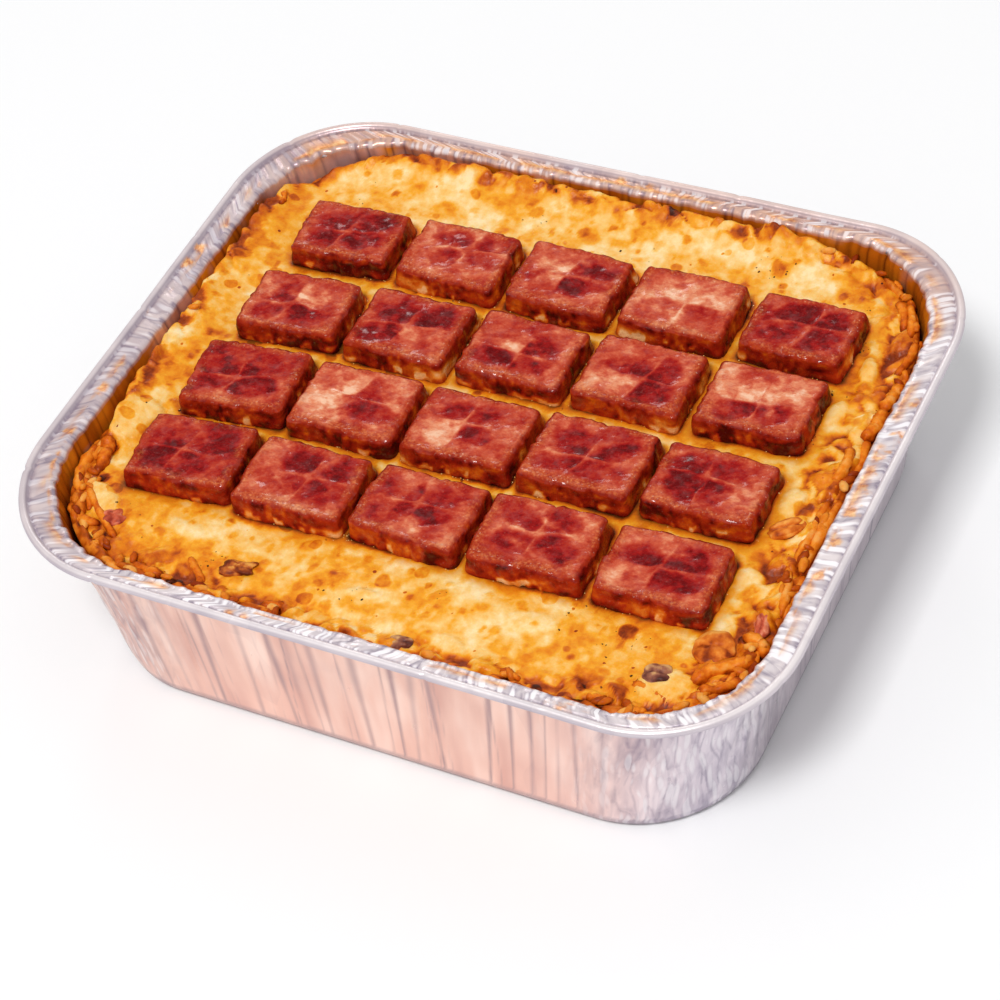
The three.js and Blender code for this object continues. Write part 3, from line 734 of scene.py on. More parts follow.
def pebbles(x, y, pitch, seed, half_length, half_width, heading, sway=0.6, chance=1.0):
    """Long rounded lumps strewn over a plan, as of grains and strands under sauce or cheese: each cell of a
    square lattice may hold one, at a random place, turned by up to the sway from the heading. Gives the height
    of the highest lump there, sqrt(1 - d^2), with d the distance from its middle over its half size, and its
    tone."""
    best = np.zeros(np.broadcast(x, y).shape)
    tone = np.full(best.shape, 0.5)
    for i, j, random in near_cells(x, y, pitch, seed, 6):
        turn = heading + (2 * random[..., 2] - 1) * sway
        size = 0.75 + 0.5 * random[..., 4]
        along, aside = turned(x - (i + random[..., 0]) * pitch, y - (j + random[..., 1]) * pitch, -turn)
        far = (along / (half_length * size)) ** 2 + (aside / (half_width * size)) ** 2
        height = np.sqrt(np.clip(1 - far, 0, None)) * (0.7 + 0.3 * random[..., 5]) * (random[..., 3] < chance)
        tone = np.where(height > best, random[..., 5], tone)
        best = np.maximum(best, height)
    return best, tone


def inside_wall(x, y, shape):
    """How far places lie inside a rounded rectangle, and the way out to its nearest point: on a corner the
    radius less the distance from its middle, and otherwise the smaller distance to a side."""
    radius = corner_radius(x, y, shape)
    over_x = np.abs(x) - shape[0] / 2 + radius
    over_y = np.abs(y) - shape[1] / 2 + radius
    to_middle = np.hypot(np.clip(over_x, 1e-6, None), np.clip(over_y, 1e-6, None))
    in_corner = (over_x > 0) & (over_y > 0)
    by_side = over_x > over_y
    gap = radius - np.where(in_corner, to_middle, np.maximum(over_x, over_y))
    out_x = np.sign(x) * np.where(in_corner, over_x / to_middle, by_side)
    out_y = np.sign(y) * np.where(in_corner, over_y / to_middle, ~by_side)
    return gap, out_x, out_y


def crept_up(x, y, from_wall):
    """How much higher the food stands near the wall, where it has boiled up: up to 3.6 mm, least at the right
    from the front to the middle."""
    return 3.6 * fall(from_wall, 0.5, 11) * (1 - 0.7 * rise(x, 105, 140) * fall(y, 60, 100))


def border_width(x, y):
    """How far the cheese's edge stays from the wall: a width for each side and for the front left corner, wider
    and narrower by turns."""
    along = np.where(y > 0, BORDER["back"], BORDER["front"])
    to_right = rise(x, 60, 140)
    to_left = rise(-x, 90, 140)
    sides = along + (BORDER["right"] - along) * to_right + (BORDER["left"] - along) * to_left
    steady = sides + (BORDER["front_left"] - sides) * rise(-x - y, 170, 225)
    lobes = 1 + 0.55 * cloud(x, y, 15, 31, 2)
    return np.maximum(steady * lobes + 1.3 * cloud(x, y, 6, 32, 1), BORDER["least"])


def bed_height(x, y, from_wall, border):
    """The bed's surface without its lumps: flat under the cheese, raised in the border by up to 3.6 mm where
    that is widest, higher where it has crept up the wall, and 2 mm lower over the last 3 mm before the wall."""
    raised = np.clip(border / BORDER["right"], 0.1, 1)
    in_border = fall(from_wall, border - 1, border + 3)
    hollow = 2.0 * fall(from_wall, 0, 3.0)
    return BED_TOP - 0.8 + in_border * (1.4 + 2.2 * raised - hollow + crept_up(x, y, from_wall))


def rice_bed():
    """The bed's top is a net spread over the tray's outline, and rings of the same outline carry it down the
    leaning wall to the base. The mark shade is lowest, and so palest, on the lumps; it is higher between them
    as painted shade, and highest, so darkest, on the rings down the wall, as painted shade by the wall."""
    net = net_in_wall(WALL_TOP[0], WALL_TOP[1], BED_NET, wall_shape(BED_TOP)[0], lambda x, y: BED_CLEAR)
    border = border_width(net.edge_x, net.edge_y)
    lumps, tone = pebbles(net.x, net.y, 4.4, 33, 6.5, 1.9, net.along)
    z = bed_height(net.x, net.y, net.inside, border)
    z = z + 2.3 * lumps * fall(net.inside, border - 1, border + 3)
    edge = net_edge(*net.x.shape)
    skirts = []
    levels = ((BED_TOP - 3, 0), (BED_TOP - 14, 0), (BASE_ROUND * 2, 0), (2.4, 1.5), (BED_FOOT, 4.5))
    for height, inward in levels:
        x, y, out_x, out_y, _ = pillow(np.ravel(net.a)[edge], np.ravel(net.b)[edge], wall_shape(height)[0])
        inset = BED_CLEAR + inward
        skirts.append(np.stack([x - inset * out_x, y - inset * out_y, np.full(len(edge), height)], -1))
    body = covered(np.stack([net.x, net.y, z], -1), skirts, (0, 0, BED_FOOT))
    # Painted shade: the bed is darker between its lumps and darkest down its sides by the wall.
    shade = np.ones(len(body[0]))
    shade[:z.size] = np.ravel(np.clip(0.95 - 0.75 * lumps + 0.5 * (tone - 0.5), 0, 1))
    return body, {"shade": shade}


def relief_group():
    """Small rises and dents that most of the food shares: a coarse noise, plus 0.4 of one 3.7 times as fine."""
    group = bpy.data.node_groups.new("small_relief", "ShaderNodeTree")
    for name, kind, way in (("Places", "NodeSocketVector", "INPUT"), ("Scale", "NodeSocketFloat", "INPUT"),
                            ("Height", "NodeSocketFloat", "OUTPUT")):
        group.interface.new_socket(name, in_out=way, socket_type=kind)
    enter = group.nodes.new("NodeGroupInput")
    coarse = grain_of(group, enter.outputs["Places"], enter.outputs["Scale"], 2)
    fine = grain_of(group, enter.outputs["Places"], times(group, enter.outputs["Scale"], 3.7), 3)
    put(group, "NodeGroupOutput", {"Height": times(group, fine, 0.4, coarse)})
    return group


SMALL_RELIEF = relief_group()


def small_relief(tree, places, scale, strength, distance):
    """The shared small rises as a bump."""
    group = put(tree, "ShaderNodeGroup", {"Places": places, "Scale": scale}, node_tree=SMALL_RELIEF)
    return relief(tree, group.outputs["Height"], strength, distance)


def mottled(tree, places, scale, detail, amount, shade, rough=0.55):
    """A shade, made darker and lighter by a noise, by up to half the amount."""
    return times(tree, about_nought(tree, grain_of(tree, places, scale, detail, rough)), amount, shade)


def rice_finish(name, stops, mottling=0.4):
    """Soaked rice and strands: orange from the sauce, paler where they have dried, darker where the mark paints
    shade, glossy with fat.
    """
    finish, tree, shader = new_finish(name)
    places = object_places(tree)
    feed(tree, shader, {
        "Base Color": graded(tree, mottled(tree, places, 300, 3, mottling, mark(tree, "shade")), stops),
        "Roughness": 0.34, "Specular IOR Level": 0.1, "Subsurface Weight": 0.1,
        "Subsurface Radius": (0.004, 0.0016, 0.0005), "Subsurface Scale": 1.0,
        "Normal": small_relief(tree, places, 500, 0.4, 0.0004)})
    return finish


bed_finish = rice_finish("baked_bed", [
    (0.05, (0.86, 0.38, 0.09)), (0.25, (0.78, 0.23, 0.016)), (0.45, (0.5, 0.09, 0.004)),
    (0.7, (0.17, 0.022, 0.002)), (1.0, (0.04, 0.006, 0.001))])
bed, bed_marks = rice_bed()
make_piece("baked_rice_bed", bed, bed_finish, "rice", ["rice_bed"], bed_marks)

# The melted cheese is one layer over the bed. It sags between the grains, climbs the wall along the back and
# the back half of the left side, ends in round lobes, and has browned in patches and blisters. The slabs have
# sunk into it a little, and fat stands golden round them. A few thick curds of it have stayed pale.
CHEESE_BOTTOM = BED_TOP + 0.4
CHEESE_TOP = 73.2
CHEESE_CLIMB = 4.4
CHEESE_NET = 0.86
CHEESE_EDGE = 5.5
CHEESE_CLEAR = 0.35
SLAB_SUNK = 1.5
SLAB_CORNER = 2.0
BLOCK = {"middle": 8, "length": 124, "width": 84}
CURDS = (
    {"x": -137, "y": -50, "length": 24, "width": 17, "height": 2.2, "turn": 1.2},
    {"x": 119, "y": -103, "length": 22, "width": 15, "height": 1.6, "turn": 0.5},
    {"x": 128, "y": -8, "length": 15, "width": 9, "height": 1.2, "turn": 1.5},
    {"x": 131, "y": 66, "length": 16, "width": 8, "height": 1.6, "turn": 1.9},
    {"x": 126, "y": 40, "length": 13, "width": 8, "height": 1.2, "turn": 1.2},
    {"x": 127, "y": -46, "length": 12, "width": 9, "height": 1.0, "turn": 0.3},
    {"x": -127, "y": -91, "length": 22, "width": 11, "height": 1.3, "turn": -0.5},
    {"x": -6, "y": -101, "length": 17, "width": 6, "height": 0.9, "turn": 0.1},
    {"x": 36, "y": -112, "length": 16, "width": 8, "height": 0.8, "turn": -0.2},
    {"x": -88, "y": -94, "length": 17, "width": 7, "height": 0.7, "turn": -0.3},
    {"x": 60, "y": -92, "length": 20, "width": 9, "height": 0.7, "turn": 0.2},
)


def node_shape(name):
    """A node's points in millimetres, its lowest and highest corners, the middle between them, and its turn:
    the angle at which its points spread most."""
    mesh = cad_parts[name].data
    flat = np.zeros(len(mesh.vertices) * 3)
    mesh.vertices.foreach_get("co", flat)
    points = flat.reshape(-1, 3) / MM
    low, high = points.min(axis=0), points.max(axis=0)
    middle = (low + high) / 2
    spread = np.cov((points - middle)[:, :2].T)
    turn = 0.5 * math.atan2(2 * spread[0, 1], spread[0, 0] - spread[1, 1])
    return points, low, high, middle, turn


def slab_places():
    """Each slab's name, middle, half length, half depth, turn, lowest and highest level, from the frame."""
    slabs = []
    for name in sorted(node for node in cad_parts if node.startswith("ham_slab")):
        _, low, high, middle, turn = node_shape(name)
        half = (high - low) / 2
        slabs.append({"name": name, "x": middle[0], "y": middle[1], "turn": turn, "length": half[0],
                      "depth": half[1], "low": low[2], "high": high[2]})
    return slabs


SLABS = slab_places()


def from_slabs(x, y):
    """The distance outside the nearest slab's upright sides, less than 0 under a slab."""
    nearest = np.full(x.shape, 99.0)
    for slab in SLABS:
        right, back = turned(x - slab["x"], y - slab["y"], -slab["turn"])
        beyond_x = np.abs(right) - slab["length"] + SLAB_CORNER
        beyond_y = np.abs(back) - slab["depth"] + SLAB_CORNER
        away = np.hypot(np.clip(beyond_x, 0, None), np.clip(beyond_y, 0, None)) - SLAB_CORNER
        inside = np.minimum(np.maximum(beyond_x, beyond_y), 0)
        nearest = np.minimum(nearest, away + inside)
    return nearest


def curds(x, y):
    """The pale curds' height and their share of the surface: a height times sqrt(1 - d^2), with d the distance
    from a curd's middle over its uneven half size."""
    height = np.zeros(x.shape)
    share = np.zeros(x.shape)
    for number, curd in enumerate(CURDS):
        along, beside = turned(x - curd["x"], y - curd["y"], -curd["turn"])
        uneven = 1 + 0.2 * cloud(x, y, 7, 70 + number, 2)
        away = np.hypot(along / curd["length"], beside / curd["width"]) * 2 * uneven
        height = np.maximum(height, curd["height"] * np.sqrt(np.clip(1 - away**2, 0, None)))
        share = np.maximum(share, rise(1.08 - away, 0, 0.3))
    return height, share


def cheese_level(x, y):
    """The melted surface without its small forms: 0.45 sin(x/19 + 1) cos(y/15) + 0.3 sin(x/8 + y/11) above its
    mean, and climbing towards the wall along the back and most of the left."""
    waves = 0.45 * np.sin(x / 19 + 1) * np.cos(y / 15) + 0.3 * np.sin(x / 8 + y / 11)
    at_back = rise(y, 98, 123) * rise(x, -130, -95) * fall(x, 85, 120)
    at_left = rise(-x, 122, 145) * rise(y, -90, -35) * fall(y, 80, 105)
    return CHEESE_TOP + waves + CHEESE_CLIMB * np.maximum(at_back, at_left)


def cheese_forms(x, y, inside, along):
    """What the cheese's height and its browning share at places that far inside its edge. near_edge is 1 in the
    band where it drapes over grains that lie along the wall, with lumps and wide ones there and their tones.
    crust is 1 along the back, where it is browned in clumps. Blisters, dots and curds are strewn over it."""
    reach = 9 + 15 * rise(x, 70, 135) + 5 * rise(-y, 60, 115) + 4 * rise(-x - y, 150, 215)
    warp_x = x + 2.0 * cloud(x, y, 8, 41, 2)
    warp_y = y + 2.0 * cloud(x, y, 8, 42, 2)
    crust = rise(y, 88, 112) * fall(inside, 1, 9) * rise(cloud(x + 25, 0 * y, 24, 91, 2), -0.35, 0.35)
    return SimpleNamespace(
        near_edge=fall(inside, 0.25 * reach, reach), slab_away=from_slabs(x, y), crust=crust,
        clumps=rise(cloud(x, y, 7, 58, 3), -0.1, 0.7), curds=curds(x, y),
        blisters=spots(warp_x, warp_y, 15, 43, 1.6, 4.6, 0.7),
        dots=spots(warp_x, warp_y, 9, 44, 0.9, 3.0, 0.55),
        grains=pebbles(warp_x, warp_y, 6.2, 45, 5.4, 2.5, along, 0.9, 0.85),
        wide=pebbles(warp_x, warp_y, 13, 48, 8, 4.6, along, 1.5, 0.6))


def cheese_height(x, y, inside, forms):
    """The cheese's level with its small forms on top. It lies flat under the slabs, and its edge rounds down to
    the bed, c (1 - sqrt(1 - t^2)), in a steeper and shorter round where it climbs the wall."""
    level = cheese_level(x, y)
    curd_height, curd_share = forms.curds
    lumps = 2.3 * forms.grains[0] + 2.0 * forms.wide[0] + 0.5 * cloud(x, y, 6, 51, 2) - 1.9
    swell = 0.3 * cloud(x, y, 17, 46, 2) + 0.06 * cloud(x, y, 4.5, 47, 2)
    bubbles = 0.22 * spots(x, y, 3.4, 61, 0.5, 1.3, 0.5) + 0.3 * spots(x, y, 5.5, 62, 0.8, 2.0, 0.5)
    bumps = swell + bubbles + 0.4 * forms.blisters + forms.near_edge * (1 - curd_share) * lumps + curd_height
    bumps = bumps + forms.crust * (0.3 + 1.9 * forms.clumps)
    z = level + bumps * rise(forms.slab_away, -0.5, 3)
    z = z + crept_up(x, y, inside_wall(x, y, wall_shape(CHEESE_TOP)[0])[0] - FOIL)
    z = z - (z - (CHEESE_TOP - SLAB_SUNK - 0.4)) * fall(forms.slab_away, -1.6, 0.0)
    climbing = rise(level, CHEESE_TOP + 0.8, CHEESE_TOP + 3)
    rounded = 1 - np.clip(inside / (CHEESE_EDGE * (1 - 0.75 * climbing)), 0, 1)
    return z - (z - BED_TOP - 0.9) * (1 - np.sqrt(1 - rounded**2)) * (1 - 0.6 * climbing)


def cheese_browning(x, y, inside, forms):
    """How browned the cheese is, from 0 for cream to 1 for dark brown, with painted shade on top, and how much
    fat stands on it. It is richer at the front, the left and the edge, and darkest in its blisters. Painted
    shade darkens the hollows between the draped lumps, the cheese near and between the slabs, and most of all
    a thin band at the slabs' feet."""
    near_edge, slab_away, (_, curd_share) = forms.near_edge, forms.slab_away, forms.curds
    (grains, grain_tone), (wide, wide_tone) = forms.grains, forms.wide
    at_back, at_right = rise(y, 85, 110), rise(x, 100, 135)
    by_slab = fall(slab_away, 0.5, 6)
    foot = bell(np.clip(slab_away, 0, None), 1.7)
    in_block = np.maximum(np.abs(x) / BLOCK["length"], np.abs(y - BLOCK["middle"]) / BLOCK["width"])
    richer = 0.17 * rise(-y, 50, 100) + 0.4 * rise(-x, 100, 140) + 0.7 * rise(-x - y, 155, 215)
    richer = richer + 0.3 * near_edge
    golden = rise(cloud(x + 30, y, 15, 49, 3) + richer, -0.5, 0.75)
    yellowed = rise(cloud(x, y, 6.5, 66, 2) + richer, -0.1, 0.6)
    # Painted shade: darker near the slabs, and a little more in the gaps between them.
    browning_and_shade = 0.085 + 0.21 * golden + 0.16 * yellowed + 0.08 * cloud(x, y, 5, 52, 2) + 0.12 * by_slab
    browning_and_shade = browning_and_shade + 0.07 * fall(slab_away, 2.5, 5) * fall(in_block, 0.93, 1)
    browning_and_shade = browning_and_shade + 0.15 * rise(forms.dots, 0.02, 0.3) + forms.crust * (0.1 + 0.42 * forms.clumps)
    browning_and_shade = browning_and_shade + (0.17 + 0.08 * at_back) * rise(forms.blisters, 0.05, 0.4)
    tinted = 0.5 * (grain_tone - 0.45) * (grains > wide) + 0.4 * (wide_tone - 0.5) * (wide > grains)
    broken = np.clip(0.6 + 0.8 * cloud(x, y, 10, 64, 2), 0, 1)
    # Painted shade in the hollows between the draped lumps.
    crevice_shade = (0.6 + 0.35 * at_right) * (1 - np.maximum(grains, wide)) ** 2 * broken
    in_band = 0.02 - 0.05 * rise(-y, 85, 110) + 0.1 * at_right + 0.1 * cloud(x, y, 12, 53, 2)
    browning_and_shade = browning_and_shade + near_edge * (in_band + tinted + crevice_shade)
    browning_and_shade = browning_and_shade + 0.16 * fall(inside, 0, 4) * (0.6 + 0.5 * cloud(x, y, 9, 54, 2))
    # Painted shadow: a dark band at the slabs' feet.
    browning_and_shade = np.minimum(browning_and_shade * (1 - 0.75 * curd_share) + 0.07 * curd_share, 0.82) + 0.6 * foot
    oil = by_slab * np.clip(0.7 + 0.7 * cloud(x, y, 10, 55, 2), 0, 1) * (1 - foot)
    return np.clip(browning_and_shade, 0, 1), oil


def cheese_layer():
    """The layer's top is a net spread over the outline of its edge, and one ring below closes it."""
    net = net_in_wall(WALL_TOP[0] - 14, WALL_TOP[1] - 8, CHEESE_NET, wall_shape(CHEESE_TOP)[0],
                      lambda x, y: FOIL + CHEESE_CLEAR + border_width(x, y))
    forms = cheese_forms(net.x, net.y, net.inside, net.along)
    z = cheese_height(net.x, net.y, net.inside, forms)
    browning_and_shade, oil = cheese_browning(net.x, net.y, net.inside, forms)
    edge = net_edge(*z.shape)
    low_ring = np.stack([net.x - net.out_x, net.y - net.out_y, np.full(z.shape, CHEESE_BOTTOM)], -1)
    body = covered(np.stack([net.x, net.y, z], -1), [low_ring.reshape(-1, 3)[edge]], (0, 0, CHEESE_BOTTOM))
    toast_below = np.full(len(edge) + 1, 0.75)
    return body, {"browning_and_shade": np.concatenate([np.ravel(browning_and_shade), toast_below]),
                  "oil": np.concatenate([np.ravel(oil), 0 * toast_below])}


def cheese_finish():
    """Melted cheese: cream to gold, going orange and brown where it has blistered and where shade is painted,
    amber where fat stands.
    Round browned spots of three sizes are strewn over it."""
    finish, tree, shader = new_finish("melted_cheese")
    places = object_places(tree)
    browning_and_shade = mottled(tree, places, 300, 4, 0.5, mark(tree, "browning_and_shade"), 0.6)
    bent = drifted(tree, places, 160, 0.0035)
    for scale, biggest, strength in ((80, 0.32, 0.22), (52, 0.25, 0.26), (190, 0.17, 0.4)):
        away, number = cells(tree, bent, (1, 1, 0.02), scale)
        spot = sloped(tree, times(tree, number, 0.4, away), (biggest - 0.04, strength), (biggest, 0))
        browning_and_shade = reckon(tree, "ADD", browning_and_shade, spot)
    cheese = graded(tree, browning_and_shade, [
        (0.0, (0.95, 0.74, 0.4)), (0.17, (0.91, 0.56, 0.17)), (0.34, (0.88, 0.38, 0.022)),
        (0.5, (0.76, 0.22, 0.006)), (0.66, (0.54, 0.1, 0.005)), (0.82, (0.26, 0.035, 0.004)),
        (1.0, (0.06, 0.01, 0.003))])
    feed(tree, shader, {
        "Base Color": mixed(tree, times(tree, mark(tree, "oil"), 0.85), cheese, (0.64, 0.2, 0.008, 1)),
        "Roughness": sloped(tree, grain_of(tree, places, 90, 3), (0.35, 0.24), (0.65, 0.46)),
        "Specular IOR Level": 0.16, "Subsurface Weight": 0.12, "Subsurface Radius": (0.005, 0.002, 0.0006),
        "Subsurface Scale": 1.0, "Normal": small_relief(tree, places, 300, 0.5, 0.0006)})
    return finish


cheese, cheese_marks = cheese_layer()
make_piece("melted_cheese_layer", cheese, cheese_finish(), "cheese", ["cheese_crust"], cheese_marks)

# Strands of the bake stand out of the bed, most along the right side and in the front corners: thick soft
# noodles soaked in sauce, sunk to about half their thickness, with their ends tucked in. The long ones each
# pass through three places, and short ones lie between them along the wall.
LONG_STRANDS = (
    {"by": ((-140, -97), (-130, -103), (-123, -102)), "radius": 1.9, "shade": 0.4},
    {"by": ((-141, -83), (-127, -96), (-111, -108)), "radius": 1.5, "shade": 0.45},
    {"by": ((-146, -66), (-143.5, -82), (-135, -94)), "radius": 2.1, "shade": 0.4},
    {"by": ((-142, -62), (-138, -71), (-137, -80)), "radius": 2.6, "shade": 0.7},
    {"by": ((-79, -106), (-73, -111), (-67, -116)), "radius": 1.5, "shade": 0.35},
    {"by": ((-99, -116), (-91, -118), (-84, -118.5)), "radius": 2.0, "shade": 0.8},
    {"by": ((-40, -119), (-36, -117), (-31, -115)), "radius": 1.8, "shade": 0.95},
    {"by": ((145, 1), (144, -18), (144, -38)), "radius": 2.0, "shade": 0.15},
    {"by": ((141, -2), (140.5, -19), (140.5, -37)), "radius": 1.7, "shade": 0.25},
    {"by": ((138, -36), (142, -47), (144, -59)), "radius": 1.9, "shade": 0.2},
    {"by": ((144.5, -38), (146, -48), (146, -60)), "radius": 1.6, "shade": 0.35},
    {"by": ((139, 25), (141, 15), (139, 7)), "radius": 2.0, "shade": 0.2},
    {"by": ((143, 32), (145, 20), (144, 9)), "radius": 1.7, "shade": 0.5},
    {"by": ((145, 47), (144.5, 39), (142, 32)), "radius": 2.7, "shade": 0.3},
    {"by": ((145, 63), (145, 56), (143, 49)), "radius": 2.4, "shade": 0.15},
    {"by": ((134, 103), (138, 95), (140, 87)), "radius": 1.8, "shade": 0.3},
    {"by": ((129, 104), (134, 97), (136, 90)), "radius": 1.7, "shade": 0.5},
    {"by": ((143, 85), (143.5, 76), (141, 67)), "radius": 1.8, "shade": 0.6},
    {"by": ((127, -99), (133, -90), (145, -82)), "radius": 2.5, "shade": 0.4},
    {"by": ((136, -73), (142, -74), (147, -77)), "radius": 2.3, "shade": 0.2},
    {"by": ((106, -105), (114, -107), (122, -109)), "radius": 1.5, "shade": 0.45},
    {"by": ((130, -101), (138, -97), (143, -90)), "radius": 1.9, "shade": 0.65},
)
SHORT_STRANDS = 26
WALL_CLEAR = 1.0
STRAND_RINGS = 31
STRAND_SIDES = 12


def food_height(x, y):
    """The height of the food's surface without its small lumps, the distance from the wall, the border's
    width, and the way out to the wall."""
    gap, out_x, out_y = inside_wall(x, y, wall_shape(CHEESE_TOP)[0])
    gap = gap - FOIL
    border = border_width(x + gap * out_x, y + gap * out_y)
    bed = bed_height(x, y, gap - BED_CLEAR + FOIL, border) + 1
    cheese = cheese_level(x, y) + crept_up(x, y, gap)
    over = rise(gap - border, -1.5, 4)
    return bed + (cheese - bed) * over, gap, border, out_x, out_y


def places_by_wall(count, seed, reach, right_share=1.0):
    """Random places in the border and a little on to the cheese, thicker where the border is wider, and the
    heading of the wall at each."""
    random = np.random.default_rng(seed)
    stations = stations_round(WALL_TOP, 1.0)
    edge_x, edge_y = outline_at(wall_shape(CHEESE_TOP), stations, -FOIL)
    edge_x, edge_y = edge_x[0], edge_y[0]
    width = border_width(edge_x, edge_y)
    chance = np.clip(width - 1.6, 0, None) * np.where(edge_x > 60, right_share, 1)
    picked = random.choice(len(width), count, p=chance / chance.sum())
    inward = 1.2 + (width[picked] + reach) * random.uniform(0, 1, count) ** 0.9
    angle = (stations[0] + stations[1] * stations[2])[picked] * (math.pi / 2)
    x = edge_x[picked] - inward * np.cos(angle)
    y = edge_y[picked] - inward * np.sin(angle)
    return x, y, angle + math.pi / 2


def strand_lines():
    """The strands' middle lines, thicknesses and shades. A long strand is the parabola through its places. A
    short one runs along the wall with a bow, b (1 - t^2). Each follows the food's surface, rises a little in
    the middle, dips at both ends, and stays 1 mm clear of the wall."""
    random = np.random.default_rng(81)
    t = np.linspace(-1, 1, STRAND_RINGS)[None, :]
    given = np.array([strand["by"] for strand in LONG_STRANDS])[:, :, None, :]
    first, middle, last = given[:, 0], given[:, 1], given[:, 2]
    bow = (first + last - 2 * middle) / 2
    long_lines = middle + (last - first) / 2 * t[..., None] + bow * t[..., None] ** 2
    x, y, heading = places_by_wall(SHORT_STRANDS, 82, 4.0, 2.0)
    heading = heading + random.normal(0, 0.35, len(x))
    half = random.uniform(2.6, 6.5, len(x))[:, None]
    aside = random.normal(0, 1.0, len(x))[:, None] * (1 - t**2)
    right, back = turned(half * t, aside, heading[:, None])
    short_lines = np.stack([x[:, None] + right, y[:, None] + back], -1)
    lines = np.concatenate([long_lines, short_lines])
    radius = np.concatenate([[strand["radius"] for strand in LONG_STRANDS], random.uniform(0.9, 1.6, len(x))])
    shade = np.concatenate([[strand["shade"] for strand in LONG_STRANDS], random.uniform(0.1, 0.9, len(x))])
    uneven = 1 + 0.16 * cloud(4 * t + 9 * np.arange(len(lines))[:, None], 0 * t, 2.0, 83, 3)
    thick = radius[:, None] * uneven * np.sqrt(1 - 0.8 * t**10)
    _, gap, _, out_x, out_y = food_height(lines[..., 0], lines[..., 1])
    push = np.clip(thick + WALL_CLEAR - gap, 0, None)
    line_x = lines[..., 0] - push * out_x
    line_y = lines[..., 1] - push * out_y
    ground = food_height(line_x, line_y)[0]
    lift = random.uniform(-1.5, -0.3, len(lines))[:, None] + 0.2 * thick
    line_z = ground + lift + 0.4 * (1 - t**2) - 1.6 * t**8
    return np.stack([line_x, line_y, line_z], -1), thick, shade


def copied(points, quads, triangles):
    """One body of many like ones: its points are a row for each, which the same faces join."""
    count, each = points.shape[:2]
    start = np.arange(count)[:, None, None] * each
    return points, (quads[None] + start).reshape(-1, 4), (triangles[None] + start).reshape(-1, 3)


def tubes(lines, radius, sides):
    """Round strands along lines (strand, ring, xyz). Each ring is p + r (cos v side + sin v below), square to
    the line, with soft dents in r, and fans close the end rings on points a little past them."""
    count, rings = lines.shape[:2]
    ahead = np.gradient(lines, axis=1)
    ahead = ahead / np.linalg.norm(ahead, axis=-1, keepdims=True)
    side = np.cross(ahead, [0, 0, 1])
    side = side / np.linalg.norm(side, axis=-1, keepdims=True)
    below = np.cross(ahead, side)
    turn = np.arange(sides) * (2 * math.pi / sides)
    spoke = np.cos(turn)[:, None] * side[:, :, None] + np.sin(turn)[:, None] * below[:, :, None]
    place = 5 * np.linspace(-1, 1, rings)[None, :, None] + 20 * np.arange(count)[:, None, None]
    dented = 1 + 0.22 * cloud(place, 3 * np.sin(turn)[None, None], 1.1, 84, 2)
    hoops = lines[:, :, None] + (radius[:, :, None] * dented)[..., None] * spoke
    past = radius[:, [0, -1], None] * np.array([-0.7, 0.7])[None, :, None]
    tips = lines[:, [0, -1]] + ahead[:, [0, -1]] * past
    points = np.concatenate([hoops.reshape(count, -1, 3), tips], axis=1)
    return copied(points, *tube_faces(rings, sides))


strand_middles, strand_radius, strand_tone = strand_lines()
strands = tubes(strand_middles, strand_radius, STRAND_SIDES)
# Painted shade: each strand is darker on its underside, below its middle line.
strand_level = strand_middles[..., 2].mean(axis=1)[:, None]
strand_low = (strand_level - strands[0][..., 2]) / strand_radius.mean(axis=1)[:, None]
strand_ends_dark = 0.3 * np.abs(np.linspace(-1, 1, STRAND_RINGS)) ** 3
strand_ends_dark = np.append(np.repeat(strand_ends_dark, STRAND_SIDES), [0.3, 0.3])[None, :]
strand_shade = np.clip(strand_tone[:, None] * 0.45 + 0.26 + 0.16 * strand_low + strand_ends_dark, 0, 1)
strand_finish = rice_finish("soaked_strands", [
    (0.0, (0.88, 0.38, 0.08)), (0.2, (0.84, 0.25, 0.015)), (0.42, (0.66, 0.13, 0.005)),
    (0.65, (0.36, 0.05, 0.002)), (0.9, (0.13, 0.012, 0.002))], 1.0)
make_piece("strands_in_border", strands, strand_finish, "rice", ["rice_bed"], {"shade": strand_shade})

# Swollen grains of rice lie between the strands and along the front, many half under the cheese: plump, pale
# orange, each a little ball drawn out to about twice its width.
GRAIN_COUNT = 80


def ball(rings, sides):
    """A ball of radius 1 by latitude and longitude: its points with the two poles last, and its faces."""
    latitude = np.radians(np.linspace(-90, 90, rings + 2)[1:-1])[:, None]
    longitude = np.arange(sides)[None, :] * (2 * math.pi / sides)
    hoops = np.stack(np.broadcast_arrays(
        np.cos(latitude) * np.cos(longitude), np.cos(latitude) * np.sin(longitude), np.sin(latitude)), -1)
    points = np.concatenate([hoops.reshape(-1, 3), [[0, 0, -1], [0, 0, 1]]])
    return points, *tube_faces(rings, sides)


def strewn(middles, halves, headings, tilts, rings, sides, knobbly=0.0, seed=0):
    """Many small round things as one mesh. Each is a ball stretched by its half sizes, roughened by random
    shares of its radius, tipped about its own side, turned to its heading and moved to its middle."""
    unit, quads, ends = ball(rings, sides)
    rough = 1 + knobbly * np.random.default_rng(seed).uniform(-1, 1, (len(middles), len(unit), 1))
    shape = unit[None] * rough * halves[:, None]
    tipped_x, tipped_z = turned(shape[..., 0], shape[..., 2], -tilts[:, None])
    x, y = turned(tipped_x, shape[..., 1], headings[:, None])
    return copied(np.stack([x, y, tipped_z], -1) + middles[:, None], quads, ends)


